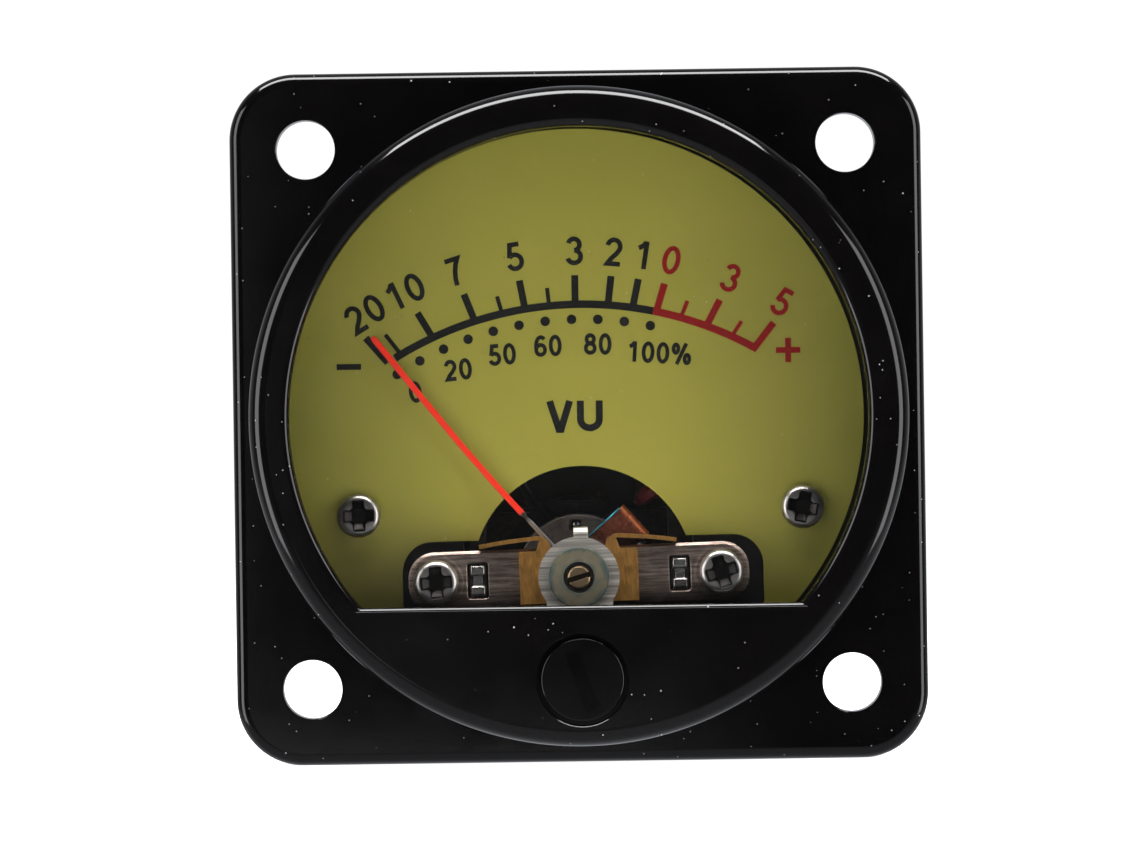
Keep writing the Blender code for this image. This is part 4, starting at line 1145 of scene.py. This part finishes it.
def make_stop_plate():
    low, high = span("pointer_stop_plate")
    front, rear = high.z, high.z - 0.25
    half_x, half_y = 3.85, 1.78
    horn = [(half_x, -half_y, 0.05), (half_x, half_y, 0.08), (2.72, half_y, 0.15), (2.52, 2.4, 0.2),
            (1.95, 2.62, 0.2), (1.7, half_y, 0.2)]
    right = rounded(horn, 6)
    stops = plate("stops", [right + mirrored(right), circle(1.25, count=64)], rear, front)
    stops = softened(stops, 0.04, 2)
    route = ((2.2, 2.3), (2.28, 2.5), (2.55, 2.6), (3.2, 2.56), (4.9, 2.4), (6.4, 2.18))
    for side in (1, -1):
        path = smooth_route([(side * x, y) for x, y in route], 6)
        stops = join(stops, softened(ribbon("arm", path, low.z, front, 0.24), 0.05, 2))
    piece(stops, MOVEMENT, "brass", "case", "pointer_stop_plate")


def strip(name, path, half_width, thick, centre_x):
    """A flat strip that follows (y, z) points, as wide as 2 half widths in x."""
    sections = []
    for i, (y, z) in enumerate(path):
        before, after = path[max(i - 1, 0)], path[min(i + 1, len(path) - 1)]
        direction = Vector((after[0] - before[0], after[1] - before[1])).normalized() * thick / 2
        corners = [(-half_width, -1), (half_width, -1), (half_width, 1), (-half_width, 1)]
        sections.append([(centre_x + x, y - direction.y * s, z + direction.x * s) for x, s in corners])
    return loft(name, sections)


def make_zero_arm():
    low, high = span("zero_adjuster_arm")
    front, rear = high.z, high.z - 0.25
    disc, start = 2.63, -34.0
    fork, gap, end = 1.15, 0.5, -7.3
    side = [(gap, -5.1), (gap, end), (fork, end), (fork, -4.2), (fork + 0.25, -3.6), (2.05, -2.3)]
    outline = arc((0, 0), disc, start, 180 - start, 96) + mirrored(side) + side
    arm = plate("arm_disc", [outline, circle(1.2, count=64)], rear, front)
    arm = softened(arm, 0.05, 2)
    centre_z = (front + rear) / 2
    bend = arc((2.78, centre_z - 0.36), 0.36, 90, 0, 8)
    path = [(2.2, centre_z), *bend, (3.14, low.z)]
    tab = softened(strip("tab", path, 0.47, 0.2, 0.22), 0.04, 2)
    piece(join(arm, tab), MOVEMENT, "brushed", "zero_arm", "zero_adjuster_arm").name = "zero_arm_plate"


def make_bearings():
    """The washer, the bush and the two jewel screws on the pivot's axis."""
    low, high = span("insulating_washer")
    edge = 0.05
    washer = [(1.0, high.z), (1.95 - edge, high.z), (1.95, high.z - edge), (1.95, low.z), (1.0, low.z)]
    piece(turned("washer", washer, segments=128), MOVEMENT, "fibre", "case", "insulating_washer")
    low, high = span("adjuster_bush")
    bush = [(0.81, high.z - 0.05), (0.85, high.z), (0.94, high.z), (0.97, high.z - 0.04),
            (0.97, low.z), (0.81, low.z)]
    piece(turned("bush", bush, segments=96), MOVEMENT, "blued_steel", "case", "adjuster_bush")
    for word, slot_turn in (("front", 15.0), ("rear", 0.0)):
        node = "jewel_screw_" + word
        low, high = span(node)
        radius, seat, end = 0.75, 0.45, low.z - high.z
        profile = [(0, 0), (radius - 0.12, 0), (radius - 0.03, -0.04), (radius, -0.12), (radius, -0.5)]
        pitch, z = 0.2, -0.6
        while z > end + 0.25:
            profile += [(radius, z), (radius - 0.07, z - pitch / 2)]
            z -= pitch
        profile += [(radius, end), (0.5, end), (0.5, end + seat), (0, end + seat)]
        slot = [(-1, -0.17), (1, -0.17), (1, 0.17), (-1, 0.17)]
        slot = prism("slot", [(turned_by(slot, slot_turn), z) for z in (-0.3, 1.0)])
        screw = softened(cut(turned(node + "_fine", profile, segments=72), slot), 0.025, 2, 50)
        place = Matrix.Translation((0, 0, high.z * MM))
        if word == "rear":
            place = Matrix.Translation((0, 0, low.z * MM)) @ Matrix.Rotation(math.pi, 4, "Y")
        piece(screw, MOVEMENT @ place, "brass_slotted", "case", node)


def make_core():
    """The round magnet inside the coil, with a notch and a locating pin in its face."""
    low, high = span("core_magnet")
    radius, edge = 4.05, 0.15
    profile = [(0, high.z), *arc((radius - edge, high.z - edge), edge, 90, 0, 5),
               *arc((radius - edge, low.z + edge), edge, 0, -90, 5), (0, low.z)]
    core = turned("core", profile, segments=160)
    corners = [(-0.5, 3.05, 0.12), (-0.2, 2.92, 0.1), (0.42, 3.0, 0.12), (0.4, 3.7, 0.15),
               (-0.42, 3.72, 0.15)]
    notch = [(x - 0.05, y) for x, y in rounded(corners, 4)]
    core = cut(core, prism("notch", [(notch, high.z - 0.6), (notch, high.z + 1)]))
    piece(softened(core, 0.04, 2, 50), MOVEMENT, "magnet", "case", "core_magnet")
    dome = ((0, 0.12), (0.16, 0.16), (0.27, 0.26), (0.32, 0.4), (0, 0.4))
    pin = [(radius, high.z - below) for radius, below in dome]
    piece(turned("locating_pin", pin, (-0.05, 3.36), 32), MOVEMENT, "nickel", "case")


# ---------------------------------------------------------------- swinging parts

def make_needle():
    """The pointer as a flattened rod, a little bowed; a station is a distance along it, half its width and
    half its depth there."""
    mid_z = middle("pointer").z
    start, length = 1.0, 20.6
    stations = [(start, 0.16, 0.08), (4.7, 0.15, 0.08), (5.2, 0.10, 0.1), (5.45, 0.19, 0.09),
                (5.8, POINTER_HALF, 0.1), (length - 0.6, POINTER_HALF, 0.1),
                (length - 0.2, POINTER_HALF * 0.93, 0.1), (length - 0.05, POINTER_HALF * 0.6, 0.08),
                (length, POINTER_HALF * 0.2, 0.05)]
    stations += [(y, POINTER_HALF, 0.1) for y in range(7, 20)]
    bow = ((0, 0.05), (2.7, 0.04), (5.5, -0.12), (8, -0.2), (11.5, -0.22), (15.5, -0.14), (length, 0))
    along_bow = [along for along, _ in bow]
    sections = []
    for along, half, thick in sorted(stations):
        k = max(i for i, y in enumerate(along_bow[:-1]) if y <= along)
        share = (along - along_bow[k]) / (along_bow[k + 1] - along_bow[k])
        aside = bow[k][1] + (bow[k + 1][1] - bow[k][1]) * share
        ring = []
        for i in range(16):
            angle = math.tau * i / 16
            x = math.copysign(abs(math.cos(angle)) ** 0.7, math.cos(angle)) * half
            z = math.copysign(abs(math.sin(angle)) ** 0.7, math.sin(angle)) * thick
            ring.append((x + aside, along, mid_z + z))
        sections.append(ring)
    piece(loft("needle", sections), SWING, "needle_red", "pointer", "pointer", sharp=60)


def coil_plane():
    """The coil's own frame: x along its front limb, y along the axis, z across its width."""
    set_angle = math.radians(88)
    return SWING @ Matrix.Rotation(math.pi / 2 - set_angle, 4, "Z") @ Matrix.Rotation(math.pi / 2, 4, "X")


def make_coil():
    low, high = span("coil_winding")
    plane = coil_plane()
    reach, wire, width = 5.35, 0.048, 2.5
    front, rear = high.z, low.z
    half, centre = (front - rear) / 2, (0, (front + rear) / 2)
    routes = []
    rng = random.Random(4)
    turns = 30
    for layer in range(2):
        for i in range(turns - layer):
            across = -width / 2 + wire + (width - 2 * wire) * (i + layer / 2) / (turns - 1)
            inset = wire + 0.02 + rng.uniform(0, 0.03) + layer * 0.07
            loop = rounded_box(reach - inset, half - inset, 0.45, centre, 6)
            routes.append([(x, y, across) for x, y in loop])
    winding = wires("winding", routes, wire, 2, cyclic=True)
    aside = plane @ Matrix.Translation((0, 0, -0.2 * MM))
    piece(winding, aside, "enamelled_wire", "pointer", "coil_winding", sharp=70)
    inner_reach, outer_reach = 4.6, 5.2
    outer = rounded_box(outer_reach, half - 0.16, 0.4, centre, 6)
    inner = rounded_box(inner_reach, half - 0.75, 0.2, centre, 4)
    core = plate("winding_core", [outer, inner], -width / 2 + 0.1, width / 2 - 0.1)
    piece(core, aside, "enamelled_wire", "pointer")
    low, high = span("coil_bobbin")
    half, centre = (high.z - low.z) / 2, (0, (high.z + low.z) / 2)
    outer = rounded_box(4.5, half, 0.5, centre, 6)
    inner = rounded_box(4.3, half - 0.2, 0.3, centre, 6)
    bobbin = softened(plate("bobbin", [outer, inner], -1.35, 1.35), 0.03, 2)
    piece(bobbin, plane, "aluminium", "pointer", "coil_bobbin")
    tape_front = front + 0.02
    tape_rear = tape_front - 0.75
    section = ((tape_rear, -1.32), (tape_front, -1.32), (tape_front, -1.22), (tape_rear, -1.22))
    tape = loft("coil_edge_tape", [[(x, y, z) for y, z in section] for x in (2.2, 4.95)])
    piece(tape, aside, "teal", "pointer")


# ---------------------------------------------------------------- zero-adjust screw

def make_zero_screw():
    low, high = span("zero_adjust_screw")
    top, floor, neck = high.z, 6.9, 5.55
    radius, shaft = 2.7, 1.2
    profile = [(0, top), *arc((radius - 0.14, top - 0.14), 0.14, 90, 0, 6), (radius, floor + 0.1),
               (shaft, floor + 0.1), (shaft, neck), (shaft + 0.4, neck), (shaft, neck - 0.35),
               (0, neck - 0.35)]
    screw = turned("adjuster_knob", profile, segments=128)
    screw = join(screw, cylinder("pin", 0.4, low.z, 6.0, (0, 0.6), 32))
    half_x, half_y, deep, flare, slot_turn = 0.45, 1.95, 0.55, 0.03, 19.0
    levels = []
    for out, height in ((0, top - deep), (flare, top + 1)):
        x, y = half_x + out, half_y + out
        levels.append((turned_by([(-x, -y), (x, -y), (x, y), (-x, y)], slot_turn), height))
    screw = cut(screw, prism("slot", levels))
    piece(softened(screw, 0.04, 2, 50), ZERO, "black_gloss_plain", "zero_screw", "zero_adjust_screw")


# ---------------------------------------------------------------- terminals

def make_terminals():
    for word in ("left", "right"):
        low, high = span("terminal_stud_" + word)
        spot = middle("terminal_stud_" + word)
        radius, pitch, end = 1.5, 0.5, low.z
        head_low = high.z - 1.4
        profile = [(0, high.z), (2.4, high.z), (2.5, high.z - 0.1), (2.5, head_low), (radius, head_low)]
        z = head_low - 1.2
        while z > end + 0.55:
            profile += [(radius, z), (radius - 0.22, z - pitch / 2)]
            z -= pitch
        profile += [(radius - 0.1, end + 0.35), (radius - 0.4, end), (0, end)]
        stud = turned("stud_" + word, profile, spot, 64)
        piece(stud, FACE, "brass_turned", "case", "terminal_stud_" + word)

        low, high = span("terminal_nut_" + word)
        hexagon = arc((0, 0), 5.5 / math.sqrt(3), 30, 390, 6)[:-1]
        nut = prism("nut", [([(x + spot.x, y + spot.y) for x, y in hexagon], z) for z in (low.z, high.z)])
        # The chamfering cone runs past both faces, because the boolean fails on coplanar ones.
        face_radius, slope, beyond = 2.72, 1.7, 0.2
        half_high = (high.z - low.z) / 2
        outer, tip = face_radius + half_high * slope, face_radius - beyond * slope
        cone = [(0, high.z + beyond), (tip, high.z + beyond), (outer, (high.z + low.z) / 2),
                (tip, low.z - beyond), (0, low.z - beyond)]
        nut = combine(nut, turned("dome", cone, spot, 96), "INTERSECT")
        bore = [(0, high.z + 1), (1.9, high.z + 1), (1.9, high.z), (1.62, high.z - 0.28),
                (1.62, low.z + 0.28), (1.9, low.z), (1.9, low.z - 1), (0, low.z - 1)]
        nut = softened(cut(nut, turned("bore", bore, spot, 64)), 0.05, 2)
        piece(nut, FACE, "brass_turned", "case", "terminal_nut_" + word).name = "nut_" + word

        low, high = span("solder_lug_" + word)
        tail = rounded([(1.1, -2.5, 0.3), (1.1, -8.2, 1.0), (-1.1, -8.2, 1.0), (-1.1, -2.5, 0.3)], 8)[::-1]
        around = math.degrees(math.asin(2.5 / 2.75))
        outline = [(x + spot.x, y + spot.y) for x, y in arc((0, 0), 2.75, -around, 180 + around, 64) + tail]
        holes = [circle(1.62, spot, 64), circle(0.6, (spot.x, spot.y - 6.6), 32)]
        lug = softened(plate("lug", [outline, *holes], low.z, high.z), 0.08, 2)
        piece(lug, FACE, "tinned", "case", "solder_lug_" + word).name = "lug_" + word

        low, high = span("lamp_pin_" + word)
        pin_spot = middle("lamp_pin_" + word)
        profile = [(0, high.z), (0.45, high.z - 0.03), (0.45, low.z + 0.35), (0.36, low.z + 0.1),
                   (0.2, low.z), (0, low.z)]
        piece(turned("pin_" + word, profile, pin_spot, 32), FACE, "tinned", "case", "lamp_pin_" + word)


def make_board_details():
    front = span("backlight_board")[1].z
    dome = [(0, front + 0.3), (0.25, front + 0.25), (0.42, front + 0.12), (0.55, front), (0, front)]
    for word, spot in (("left", (-3.45, -5.68)), ("right", (1.3, -5.48))):
        piece(turned("solder_pad_" + word, dome, spot, 32), FACE, "solder", "case")


# ---------------------------------------------------------------- carried-over CAD nodes

OTHER_FINISH = {"core_bracket": "blued_steel"}


def dress_cad_nodes():
    """Gives each CAD node still shown the procedural finish of its own slot, or the one set above."""
    for name, node in NODES.items():
        if node.hide_render:
            continue
        finish = OTHER_FINISH.get(name, node.data.materials[0].name)
        for slot in node.material_slots:
            slot.link = "OBJECT"
            slot.material = MATERIALS[finish]


# ---------------------------------------------------------------- stage, light and camera

CAMERA_DISTANCE = 0.52  # metres in front of the flange's rear face
SENSOR = 36.0
IMAGE_WIDTH = 1140
PIXELS_PER_MM = 15.38  # at the flange's front face
FRAME_ROLL = math.radians(0.81)
AIM = (-0.586, -0.742)  # where the camera's axis meets the meter, in face coordinates
ROOM_FRONT = 0.02
ROOM_BACK = 0.5
FLOOR_GLOW = 0.4


def make_camera():
    data = bpy.data.cameras.new("camera")
    data.sensor_width = SENSOR
    data.lens = PIXELS_PER_MM / MM * (CAMERA_DISTANCE - FLANGE_FRONT * MM) * SENSOR / IMAGE_WIDTH
    data.clip_start = 0.01
    camera = shown("camera", data)
    look = Matrix.Rotation(math.radians(90), 4, "X") @ Matrix.Rotation(-FRAME_ROLL, 4, "Z")
    camera.matrix_world = Matrix.Translation((AIM[0] * MM, -CAMERA_DISTANCE, AIM[1] * MM)) @ look
    bpy.context.scene.camera = camera


def soft_light(name, spot, size, power):
    """A rectangular light that faces the middle of the flange's rear."""
    data = bpy.data.lights.new(name, "AREA")
    data.shape = "RECTANGLE"
    data.size, data.size_y = size
    data.energy = power
    light = shown(name, data)
    light.location = spot
    light.rotation_euler = (Vector() - Vector(spot)).to_track_quat("-Z", "Y").to_euler()
    light.visible_camera = False


def make_floor():
    bm = bmesh.new()
    half, front, back = 1.5, -0.15, 2.0
    floor_z = CAD_BOX[0].z
    corners = [(-half, front, floor_z), (half, front, floor_z), (half, back, floor_z), (-half, back, floor_z)]
    bm.faces.new([bm.verts.new(corner) for corner in corners])
    mesh = bpy.data.meshes.new("floor")
    bm.to_mesh(mesh)
    bm.free()
    floor = shown("floor", mesh)
    pale = Finish("floor_pale", 0.8)
    pale.colour(pale.mix(pale.noise(0.01), (0.8, 0.8, 0.8), (0.84, 0.84, 0.84)))
    pale.shader.inputs["Emission Color"].default_value = (1, 1, 1, 1)
    pale.shader.inputs["Emission Strength"].default_value = 0.95
    mesh.materials.append(pale.material)
    floor.visible_glossy = False


def make_world():
    """A white backdrop for the camera; for all other rays a room that brightens towards +y, and for mirrored
    rays also a glow from below."""
    world = bpy.data.worlds.new("studio")
    bpy.context.scene.world = world
    world.use_nodes = True
    tree = world.node_tree
    link = tree.links.new
    seen = tree.nodes.new("ShaderNodeLightPath").outputs
    backdrop = tree.nodes.new("ShaderNodeBackground")
    backdrop.inputs["Color"].default_value = (1, 1, 1, 1)
    backdrop.inputs["Strength"].default_value = 1.05
    room = tree.nodes["Background"]
    room.inputs["Color"].default_value = (0.92, 0.95, 1.0, 1)
    direction = tree.nodes.new("ShaderNodeTexCoord")
    split = tree.nodes.new("ShaderNodeSeparateXYZ")
    link(direction.outputs["Generated"], split.inputs[0])

    def ramp(value, *limits):
        made = tree.nodes.new("ShaderNodeMapRange")
        made.interpolation_type = "SMOOTHSTEP"
        for socket, number in zip(("From Min", "From Max", "To Min", "To Max"), limits):
            made.inputs[socket].default_value = number
        link(value, made.inputs["Value"])
        return made.outputs[0]

    def combined(operation, first, second):
        made = tree.nodes.new("ShaderNodeMath")
        made.operation = operation
        link(first, made.inputs[0])
        link(second, made.inputs[1])
        return made.outputs[0]

    rise = ramp(split.outputs[1], -0.3, 0.9, ROOM_FRONT, ROOM_BACK)
    glow = ramp(split.outputs[2], -0.05, -0.45, 0.0, FLOOR_GLOW)
    mirrored_only = combined("MULTIPLY", glow, seen["Is Glossy Ray"])
    link(combined("ADD", rise, mirrored_only), room.inputs["Strength"])
    choose = tree.nodes.new("ShaderNodeMixShader")
    link(seen["Is Camera Ray"], choose.inputs[0])
    link(room.outputs[0], choose.inputs[1])
    link(backdrop.outputs[0], choose.inputs[2])
    link(choose.outputs[0], tree.nodes["World Output"].inputs["Surface"])


def make_stage():
    make_floor()
    make_world()
    bpy.context.scene.view_settings.view_transform = "Standard"

    soft_light("softbox_top", (0, -0.12, 0.5), (0.7, 0.2), 7.2)
    soft_light("softbox_left", (-0.55, -0.3, 0.05), (0.3, 0.6), 2.3)
    soft_light("softbox_right", (0.55, -0.3, 0.05), (0.3, 0.6), 2.3)
    soft_light("fill_low", (-0.04, -0.5, -0.066), (0.11, 0.045), 0.015)
    soft_light("fill_left", (-0.05, -0.5, 0.0), (0.014, 0.09), 0.0014)


make_cover()
make_rear_case()
make_dial()
for screw in SCREWS:
    pan_screw(*screw)
make_bridge()
make_yoke()
make_stop_plate()
make_zero_arm()
make_bearings()
make_core()
make_needle()
make_coil()
make_zero_screw()
make_terminals()
make_board_details()
dress_cad_nodes()
make_stage()
make_camera()
